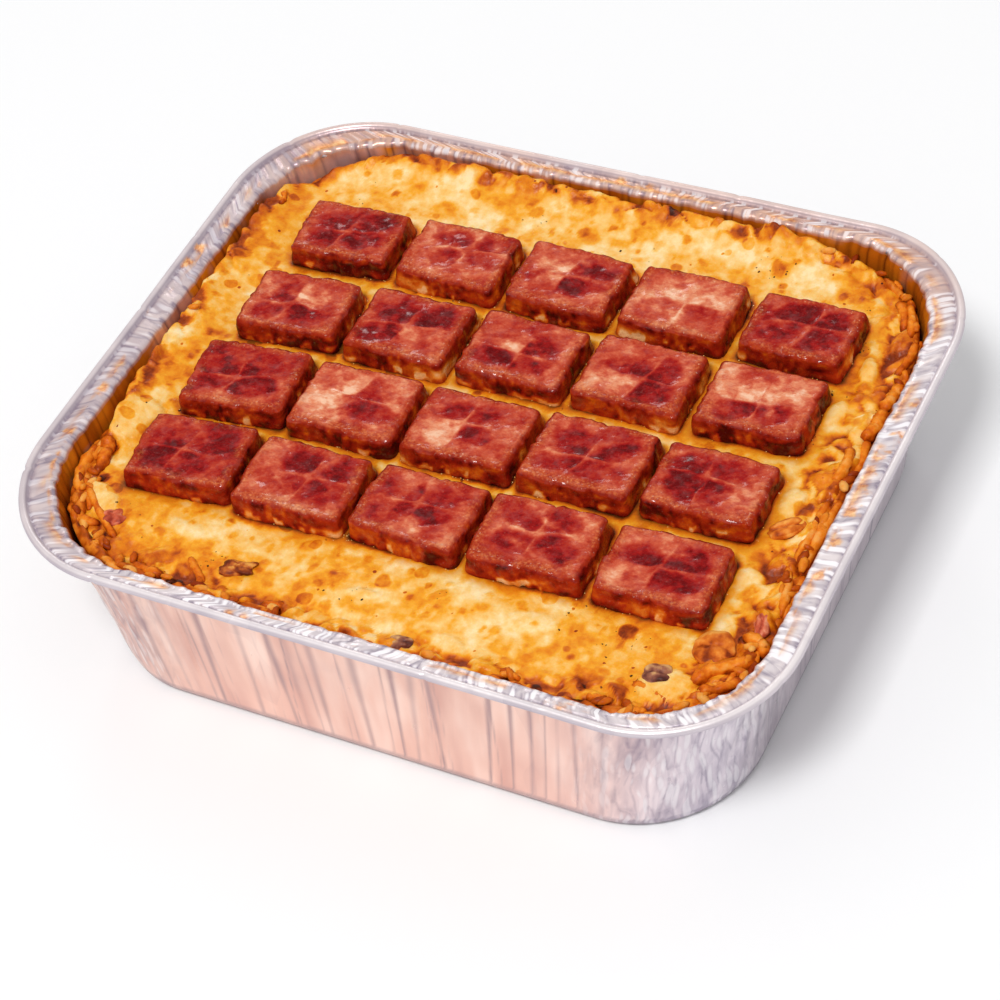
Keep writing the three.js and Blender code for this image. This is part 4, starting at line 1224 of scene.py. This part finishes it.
def grains_by_wall(count, seed, small, large, reach, lift):
    """Grains along the wall: their middles on the food's surface, half sizes, headings, tilts and tones."""
    random = np.random.default_rng(seed)
    x, y, heading = places_by_wall(count, seed + 1, reach)
    half = random.uniform(small, large, count)
    wide = random.uniform(0.42, 0.56, count)
    high = random.uniform(0.4, 0.5, count)
    halves = np.stack([half, half * wide, half * high], -1)
    _, gap, _, out_x, out_y = food_height(x, y)
    push = np.clip(half + 0.4 - gap, 0, None)
    x = x - push * out_x
    y = y - push * out_y
    z = food_height(x, y)[0] + lift + random.uniform(-0.5, 0.8, count)
    heading = heading + random.normal(0, 0.9, count)
    return np.stack([x, y, z], -1), halves, heading, random.normal(0, 0.3, count), random.uniform(0, 1, count)


grain_middles, grain_halves, grain_headings, grain_tilts, grain_tone = grains_by_wall(
    GRAIN_COUNT, 91, 2.4, 3.7, 3.0, 0.3)
grains = strewn(grain_middles, grain_halves, grain_headings, grain_tilts, 5, 7, 0.05, 93)
grain_finish = rice_finish("swollen_grains", [
    (0.0, (0.86, 0.42, 0.1)), (0.25, (0.8, 0.25, 0.018)), (0.55, (0.56, 0.1, 0.004)),
    (0.95, (0.25, 0.028, 0.002))], 0.8)
make_piece("rice_grains", grains, grain_finish, "rice", ["rice_bed"],
           {"shade": np.repeat(grain_tone, grains[0].shape[1])})

# Ground pepper is strewn over the cheese in small clusters, and beads of melted fat froth along the feet of
# the slabs. Both lie on the cheese: angular dark specks, and golden beads under a millimetre across.
PEPPER_CLUSTERS = 26
PEPPER_GIVEN = [(75.7, 105.1), (-58, -118), (124, 24), (-70, -103)]
BEAD_COUNT = 650


def on_cheese(x, y):
    """The cheese's height at any place."""
    gap, out_x, out_y = inside_wall(x, y, wall_shape(CHEESE_TOP)[0])
    inside = gap - FOIL - border_width(x + gap * out_x, y + gap * out_y)
    forms = cheese_forms(x, y, inside, np.arctan2(out_y, out_x) + math.pi / 2)
    return cheese_height(x, y, inside, forms)


def laid_on_cheese(places, lift):
    """Middles of small things at places in plan, lifted that far above the cheese."""
    return np.stack([places[:, 0], places[:, 1], on_cheese(places[:, 0], places[:, 1]) + lift], -1)


def pepper_places():
    """Clusters of specks at random over the open cheese, and four at given places. No speck is on a slab or
    within 0.8 mm of one's side, nor within 12 mm of the wall."""
    random = np.random.default_rng(101)
    tries = PEPPER_CLUSTERS * 4
    centre = np.stack([random.uniform(-135, 130, tries), random.uniform(-112, 116, tries)], -1)
    centre = centre[from_slabs(centre[:, 0], centre[:, 1]) > 1][:PEPPER_CLUSTERS]
    centre = np.concatenate([centre, PEPPER_GIVEN])
    count = random.integers(2, 9, len(centre))
    spread = np.repeat(random.uniform(1, 7, len(centre)), count)
    places = np.repeat(centre, count, axis=0) + random.normal(0, 1, (count.sum(), 2)) * spread[:, None]
    away = from_slabs(places[:, 0], places[:, 1])
    gap = inside_wall(places[:, 0], places[:, 1], wall_shape(CHEESE_TOP)[0])[0]
    return places[(away > 0.8) & (gap > 12)]


pepper = pepper_places()
pepper_random = np.random.default_rng(103)
pepper_half = 0.16 + 0.4 * pepper_random.uniform(0, 1, len(pepper)) ** 2
pepper_specks = strewn(
    laid_on_cheese(pepper, 0.08), pepper_half[:, None] * np.array([1.3, 0.8, 0.5]),
    pepper_random.uniform(0, 6, len(pepper)), pepper_random.normal(0, 0.3, len(pepper)), 3, 6, 0.45, 104)
pepper_finish = rice_finish("ground_pepper", [
    (0.1, (0.012, 0.008, 0.007)), (0.5, (0.06, 0.02, 0.01)), (0.95, (0.26, 0.08, 0.02))])
pepper_shade = np.repeat(pepper_random.uniform(0, 0.9, len(pepper)), pepper_specks[0].shape[1])
make_piece("pepper_specks", pepper_specks, pepper_finish, "browned", ["cheese_crust"], {"shade": pepper_shade})


def bead_places():
    """Places along the slabs' feet: a random point of a random slab's outline, in patches of froth."""
    random = np.random.default_rng(111)
    number = random.integers(0, len(SLABS), BEAD_COUNT * 2)
    half = np.array([(slab["length"], slab["depth"]) for slab in SLABS])[number]
    middle = np.array([(slab["x"], slab["y"], slab["turn"]) for slab in SLABS])[number]
    share = random.uniform(-1, 1, len(number))
    side = random.integers(0, 4, len(number))
    out = 0.2 + np.abs(random.normal(0, 0.8, len(number)))
    x = np.where(side < 2, share * half[:, 0], np.where(side == 2, 1, -1) * (half[:, 0] + out))
    y = np.where(side < 2, np.where(side == 0, 1, -1) * (half[:, 1] + out), share * half[:, 1])
    froth = cloud(x + 40 * number, y, 7, 112, 2) > 0
    right, back = turned(x, y, middle[:, 2])
    return np.stack([middle[:, 0] + right, middle[:, 1] + back], -1)[froth][:BEAD_COUNT]


def fat_finish():
    """Melted fat: golden, uneven and shiny."""
    finish, tree, shader = new_finish("melted_fat")
    tint = grain_of(tree, object_places(tree), 200, 2)
    feed(tree, shader, {
        "Base Color": graded(tree, tint, [(0.35, (0.7, 0.26, 0.02)), (0.65, (0.93, 0.6, 0.22))]),
        "Roughness": 0.1, "Specular IOR Level": 0.35})
    return finish


beads = bead_places()
bead_random = np.random.default_rng(113)
bead_half = bead_random.uniform(0.12, 0.34, len(beads))
bead_halves = bead_half[:, None] * np.array([1, 1, 0.8])
fat_beads = strewn(laid_on_cheese(beads, 0.15), bead_halves, 0 * bead_half, 0 * bead_half, 3, 6)
make_piece("fat_beads", fat_beads, fat_finish(), "cheese", ["cheese_crust"])

# Twenty slabs of cooked ham, each seared on a hot grate: soft-edged petals of crimson, maroon or salmon fill
# the four quarters round a pale broken cross, the upper edge is crisp and crinkled, and the glossy sides go
# from dark red to amber with cream fat low down. Each is its own piece on its own node.
SLAB_NET = 0.62
SLAB_EDGE = 0.8
SLAB_FOOT = 0.1
PETAL_DEPTH = 0.35
PALE_SLABS = ("r1c4", "r2c4", "r2c5", "r3c2", "r4c2")
DARK_SLABS = ("r1c1", "r1c5", "r3c1", "r3c5", "r4c1")
SIDE_PROFILE = ((-0.3, 0.3), (0.0, 0.9), (0.15, 1.9), (0.3, 3.1), (0.5, 4.4), (0.75, 5.7), (0.9, 7.0),
                (0.95, 8.2), (0.8, 9.3), (0.2, 10.2), (-0.9, 10.9))


def slab_outline(a, b, slab, grow, far):
    """A slab's outline moved out, with small scallops and nicks along its sides, which swell in the middle."""
    shape = np.array([2 * slab["length"], 2 * slab["depth"], *[SLAB_CORNER] * 4])
    x, y, out_x, out_y, share = pillow(a, b, shape)
    place = np.arctan2(y, x) * 20
    wave = 0.4 * cloud(place + far, 0 * place, 2.4, 61, 2) + 0.6 * cloud(place + far, 0 * place, 11, 67, 1)
    wave = wave - 0.7 * rise(cloud(place + far, 0 * place, 3.6, 81, 1), 0.45, 0.85)
    swell_x = 0.45 * np.cos(np.clip(y / slab["depth"], -1, 1) * math.pi / 2) - 0.25
    swell_y = 0.45 * np.cos(np.clip(x / slab["length"], -1, 1) * math.pi / 2) - 0.25
    return x + (grow + wave + swell_x) * out_x, y + (grow + wave + swell_y) * out_y, share


def petals(x, y, cross_x, cross_y, far, random, pale_share):
    """The seared petals, a large and a small one in each quarter between the cross's arms: how deep they are,
    and how much they change the meat's shade, down to maroon or up to salmon. A petal is an ellipse that leans,
    ends crisply at the cross and fades outwards with a frayed edge. The pale share is the chance of a salmon
    pair."""
    depth = np.zeros(x.shape)
    change = np.zeros(x.shape)
    frayed = 1 + 0.4 * cloud(x + far, y, 5, 71, 3)
    for side_x, side_y in ((-1, -1), (-1, 1), (1, -1), (1, 1)):
        along = (x - cross_x) * side_x
        back = (y - cross_y) * side_y
        crisp = rise(along, -0.2, 0.8) * rise(back, -0.2, 0.7)
        paler = random.uniform(0, 1) < pale_share
        for least, most, strongest in (((12, 9), (21, 14), 0.24), ((6, 4), (11, 8), 0.15)):
            reach_x, reach_y = random.uniform(least, most)
            start_x, start_y = random.uniform(0, 2.0, 2)
            lean = random.uniform(-0.5, 0.5)
            away = ((along - start_x - 0.42 * reach_x + lean * back) / (0.62 * reach_x)) ** 2
            away = (away + ((back - start_y - 0.42 * reach_y) / (0.62 * reach_y)) ** 2) * frayed
            shape = rise(1.15 - away, 0, 0.8) * crisp
            strength = strongest * random.uniform(0.32, 1)
            change = change + shape * np.where(paler, 0.6 * strength, -strength)
            depth = np.maximum(depth, shape)
    return depth, change


def slab_top(slab, number, random, far):
    """A slab's top is a net on its rounded outline, dented by the petals and raised along the cross, with a
    crisp lip. The mark sear runs from 0, maroon, to 1, cream; tan is the sugary margin; side is 1 at the rim."""
    dark = slab["name"][-4:] in DARK_SLABS
    light = 0.5 * random.uniform(-1, 1) + (slab["name"][-4:] in PALE_SLABS) - dark
    a, b = square_net(2 * slab["length"], 2 * slab["depth"], SLAB_NET)
    edge_x, edge_y, share = slab_outline(a, b, slab, -SLAB_EDGE, far)
    x = edge_x * share
    y = edge_y * share
    cross_x = random.uniform(-3.5, 3.5) + random.uniform(-0.1, 0.35) * y
    cross_x = cross_x + 1.0 * cloud(y + far, x * 0, 9, 62, 2)
    cross_y = random.uniform(-2.5, 2.5) + random.uniform(-0.05, 0.12) * x
    cross_y = cross_y + 0.9 * cloud(x + far, y * 0, 9, 63, 2)
    central = fall(np.hypot((x - cross_x) / 16, (y - cross_y) / 11), 0.4, 1.1)
    ridge = np.maximum(bell(x - cross_x, 0.8), bell(y - cross_y, 0.7))
    ridge = ridge * np.clip(0.5 + 0.9 * cloud(x + far, y, 7, 68, 2), 0, 1) * (0.35 + 0.65 * central)
    deep, change = petals(x, y, cross_x, cross_y, far, random, 0.0 if dark else 0.25)
    inward = (1 - share) * np.minimum(slab["length"], slab["depth"])
    grain = cloud((x + 0.6 * y) * 0.6 + far, (y - 0.6 * x) * 2, 3.2, 64, 3)
    lumps = 0.34 * cloud(x + far, y, 9, 65, 2) + 0.1 * grain * (1 - 0.5 * deep)
    crown = 0.22 * ridge - PETAL_DEPTH * deep - 0.35 * spots(x + far, y, 4.5, 76, 0.4, 1.1, 0.5)
    round_edge = 0.5 * (1 - np.sqrt(np.clip(1 - (1 - np.clip(inward / 1.1, 0, 1)) ** 2, 0, 1)))
    lip = 0.24 * bell(inward - 1.0, 0.8) * (1 + 1.2 * cloud(x + far, y, 2.6, 69, 1))
    tilt = random.uniform(-0.02, 0.02) * x + random.uniform(-0.02, 0.02) * y
    z = slab["high"] - 0.25 + lumps + tilt + crown * rise(inward, 0, 2.5) - round_edge + lip
    cream = rise(cloud(x * 0.5 + far, y * 1.3 + 0.4 * x, 6, 73, 2), 0.45, 1.0) * central
    islands = rise(cloud(0.9 * x + far, y + 0.5 * x, 7.5, 82, 3), -0.12, 0.16) - 0.5
    sear = 0.605 + 0.06 * light + 0.06 * grain + 1.25 * change + 0.26 * cream + 0.12 * islands + 0.14 * ridge
    sear = sear + 0.14 * cloud(x + far, y, 14, 72, 2) + 0.07 * cloud(x + far, y, 5.5, 80, 2)
    sear = np.clip(sear, 0.22, 1)
    sear = sear - 0.06 * fall(inward, 0, 2.5) * rise(cloud(x + far, y, 11, 74, 1), -0.4, 0.4)
    front = rise(-y / slab["depth"] + 0.35 * cloud(x + far, y, 7, 75, 2), 0.35, 0.95)
    margin = fall(inward, 0.8, 4) * np.clip(0.6 + 0.7 * cloud(x + far, y, 6, 83, 2), 0, 1)
    tan = np.maximum(front * fall(inward, 2, 7) * (1 - 0.7 * deep), margin)
    marks = {"sear": sear, "tan": tan, "side": fall(inward, 0, 1), "fat": 0 * x + 0.3}
    return a, b, np.stack([x, y, z], -1), marks


def slab_sides(slab, a, b, top, random, far):
    """A slab's sides are rings that bulge a little beyond the top and tuck in at the foot. The mark fat runs
    from 0, dark red, through amber to 1, cream, and is lowered again by the cheese, as a painted shadow at the
    foot."""
    edge = net_edge(*a.shape)
    edge_a, edge_b, edge_z = (np.ravel(values)[edge] for values in (a, b, top[..., 2]))
    angle = np.arctan2(edge_b * slab["depth"], edge_a * slab["length"]) * 20 + far
    amber = 0.3 + 0.12 * random.uniform(-1, 1) + 0.32 * cloud(angle, 0 * angle, 11, 77, 2)
    skirts, fats = [], []
    for grow, drop in SIDE_PROFILE:
        level = np.full(len(edge), drop)
        lumpy = cloud(angle, level * 0.9, 4.2, 66, 2)
        ring_x, ring_y, _ = slab_outline(edge_a, edge_b, slab, grow + 0.42 * lumpy, far)
        skirts.append(np.stack([ring_x, ring_y, np.maximum(edge_z - drop, slab["low"] + SLAB_FOOT)], -1))
        lumps_of_fat = rise(cloud(angle, level, 4.2, 78, 2), 0.25, 0.75) * rise(level, 3, 6.5)
        banded = 0.26 + (amber - 0.26) * rise(level, 1.2, 3.8) + 0.2 * cloud(angle, level, 2.6, 79, 2)
        # Painted shadow: the sides darken towards their foot in the cheese.
        shadowed = 0.12 * rise(level, 5.5, 8.5) + 0.4 * rise(level, 8.6, 10.4)
        fats.append(np.clip(banded + 0.6 * lumps_of_fat - shadowed, 0, 1))
    return skirts, np.concatenate(fats)


def slab_body(slab, number):
    """A slab's top and sides in one closed body, carried to its place, and its marks."""
    random = np.random.default_rng(700 + number)
    far = number * 60.0
    a, b, top, marks = slab_top(slab, number, random, far)
    skirts, fats = slab_sides(slab, a, b, top, random, far)
    points, quads, triangles = covered(top, skirts, (0, 0, slab["low"] + SLAB_FOOT))
    under = {"sear": 0 * fats + 0.3, "tan": 0 * fats, "side": 0 * fats + 1, "fat": fats}
    foot = {"sear": 0.3, "tan": 0, "side": 1, "fat": 0}
    marks = {name: np.concatenate([np.ravel(marks[name]), under[name], [foot[name]]]) for name in marks}
    x, y = turned(points[:, 0], points[:, 1], slab["turn"])
    return (np.stack([slab["x"] + x, slab["y"] + y, points[:, 2]], -1), quads, triangles), marks


def ham_finish():
    """Seared ham: its shade by the mark sear and by fibres, tan and sugary at the front margin, and sides by
    the mark fat. It glistens in spots where melted fat clings, and pale specks along the margin are painted
    glints."""
    finish, tree, shader = new_finish("seared_ham")
    places = object_places(tree)
    muscle = about_nought(tree, grain_of(tree, places, 190, 4, 0.6))
    streaks = grain_of(tree, stretched(tree, places, (1, 2.6, 1), 0.5), 420, 4, 0.65)
    grit = grain_of(tree, places, 950, 2)
    fibrous = times(tree, about_nought(tree, streaks), 0.26, mark(tree, "sear"))
    fibrous = times(tree, about_nought(tree, grit), 0.12, fibrous)
    meat = graded(tree, times(tree, muscle, 0.55, fibrous), [
        (0.0, (0.05, 0.001, 0.001)), (0.2, (0.15, 0.002, 0.003)), (0.38, (0.34, 0.008, 0.007)),
        (0.55, (0.46, 0.04, 0.019)), (0.7, (0.6, 0.105, 0.05)), (0.85, (0.76, 0.26, 0.13)),
        (1.0, (0.88, 0.52, 0.34))])
    sugar = graded(tree, grain_of(tree, places, 800, 3, 0.65), [
        (0.38, (0.28, 0.02, 0.004)), (0.52, (0.5, 0.09, 0.018)), (0.66, (0.75, 0.26, 0.08))])
    top = mixed(tree, times(tree, mark(tree, "tan"), 0.55), meat, sugar)
    side = graded(tree, times(tree, muscle, 0.7, mark(tree, "fat")), [
        (0.0, (0.07, 0.002, 0.001)), (0.16, (0.22, 0.007, 0.002)), (0.36, (0.38, 0.025, 0.004)),
        (0.56, (0.58, 0.09, 0.004)), (0.75, (0.76, 0.24, 0.03)), (1.0, (0.88, 0.5, 0.22))])
    skin = mixed(tree, mark(tree, "side"), top, side)
    # Painted highlights: pale specks, most along the margin.
    painted_glints = sloped(tree, grit, (0.64, 0), (0.72, 1))
    painted_glints = times(tree, painted_glints, times(tree, mark(tree, "tan"), 0.35, 0.05))
    feed(tree, shader, {
        "Base Color": mixed(tree, painted_glints, skin, (0.95, 0.66, 0.5, 1)),
        "Roughness": sloped(tree, streaks, (0.3, 0.26), (0.7, 0.44)), "Specular IOR Level": 0.06,
        "Coat Weight": sloped(tree, grain_of(tree, places, 300, 4), (0.48, 0.02), (0.66, 0.8)),
        "Coat Roughness": 0.1,
        "Normal": relief(tree, streaks, 0.25, 0.0004, small_relief(tree, places, 250, 0.85, 0.001))})
    return finish


seared_ham = ham_finish()
for number, slab in enumerate(SLABS):
    body, marks = slab_body(slab, number)
    make_piece("seared_" + slab["name"], body, seared_ham, "ham", [slab["name"]], marks)

# Seven larger scraps lie half sunk in the cheese: a browned flake, two bits and a piece of ham, two slices of
# mushroom and a crisp curl of crust. Each stands for its own node, at that node's place, size and turn.
SCRAPS = (
    {"node": "browned_flake", "slot": "browned", "colours": "flake", "knobs": 0.3, "fold": 0.0},
    {"node": "ham_bit_left", "slot": "ham", "colours": "meat", "knobs": 0.22, "fold": 0.0},
    {"node": "ham_piece_front", "slot": "ham", "colours": "brown", "knobs": 0.09, "fold": 0.3},
    {"node": "mushroom_front", "slot": "mushroom", "colours": "mushroom", "knobs": 0.12, "fold": 0.35},
    {"node": "mushroom_middle", "slot": "mushroom", "colours": "mushroom", "knobs": 0.12, "fold": 0.3},
    {"node": "brown_bit_right", "slot": "browned", "colours": "meat", "knobs": 0.15, "fold": 0.15},
    {"node": "crisp_curl", "slot": "browned", "colours": "brown", "knobs": 0.1, "fold": 0.4},
)
SCRAP_COLOURS = {
    "flake": [(0.2, (0.85, 0.4, 0.08)), (0.42, (0.5, 0.12, 0.02)), (0.6, (0.22, 0.035, 0.01)),
              (0.85, (0.07, 0.012, 0.006))],
    "meat": [(0.2, (0.8, 0.3, 0.16)), (0.5, (0.6, 0.11, 0.05)), (0.8, (0.28, 0.03, 0.015))],
    "brown": [(0.2, (0.9, 0.4, 0.08)), (0.45, (0.74, 0.2, 0.022)), (0.7, (0.5, 0.09, 0.008)),
              (0.9, (0.22, 0.03, 0.004))],
    "mushroom": [(0.2, (0.68, 0.38, 0.15)), (0.45, (0.35, 0.13, 0.07)), (0.68, (0.17, 0.05, 0.035)),
                 (0.9, (0.07, 0.02, 0.015))],
}


def scrap_finish(name, stops):
    """A scrap's colour by its own mark and a noise, moist and a little glossy."""
    finish, tree, shader = new_finish(name)
    places = object_places(tree)
    mottle = about_nought(tree, grain_of(tree, places, 420, 4))
    feed(tree, shader, {
        "Base Color": graded(tree, times(tree, mottle, 0.7, mark(tree, "shade")), stops),
        "Roughness": sloped(tree, mottle, (0.0, 0.28), (0.2, 0.5)), "Specular IOR Level": 0.1,
        "Normal": small_relief(tree, places, 600, 0.5, 0.0004)})
    return finish


def scrap_body(scrap, number):
    """A ball stretched to the node's size and roughened by soft noise, with a fold along its top: a groove
    exp(-(v / 0.22)^2) across it. It has the place and the turn of the node's own points."""
    solid, _, _, middle, turn = node_shape(scrap["node"])
    right = np.array([math.cos(turn), math.sin(turn), 0])
    back = np.array([-math.sin(turn), math.cos(turn), 0])
    half = [np.max(np.abs((solid - middle) @ way)) for way in (right, back, np.array([0, 0, 1]))]
    unit, quads, ends = ball(30, 44)
    u, v, w = unit.T
    soft = cloud(u * 9 + 40 * number, v * 9 + w * 5, 6, 121, 3)
    soft = soft - 1.6 * scrap["knobs"] * np.cos(4 * np.arctan2(v, u))
    fold = scrap["fold"] * bell(v + 0.25 * u, 0.22) * rise(w, 0, 0.6)
    size = 0.96 + scrap["knobs"] * soft - fold
    points = middle + (unit * size[:, None] * half) @ np.stack([right, back, [0, 0, 1]])
    # Painted shade: a scrap is darker in the groove of its fold.
    shade = 0.5 + 0.3 * cloud(u * 9 + 40 * number, v * 9, 4.5, 122, 2) + 0.5 * fold - 0.2 * (w > 0.4) * v
    return (points, quads, ends), {"shade": np.clip(shade, 0, 1)}


SCRAP_FINISHES = {name: scrap_finish("scrap_" + name, stops) for name, stops in SCRAP_COLOURS.items()}
for number, scrap in enumerate(SCRAPS):
    body, marks = scrap_body(scrap, number)
    scrap_look = SCRAP_FINISHES[scrap["colours"]]
    make_piece("baked_" + scrap["node"], body, scrap_look, scrap["slot"], [scrap["node"]], marks)
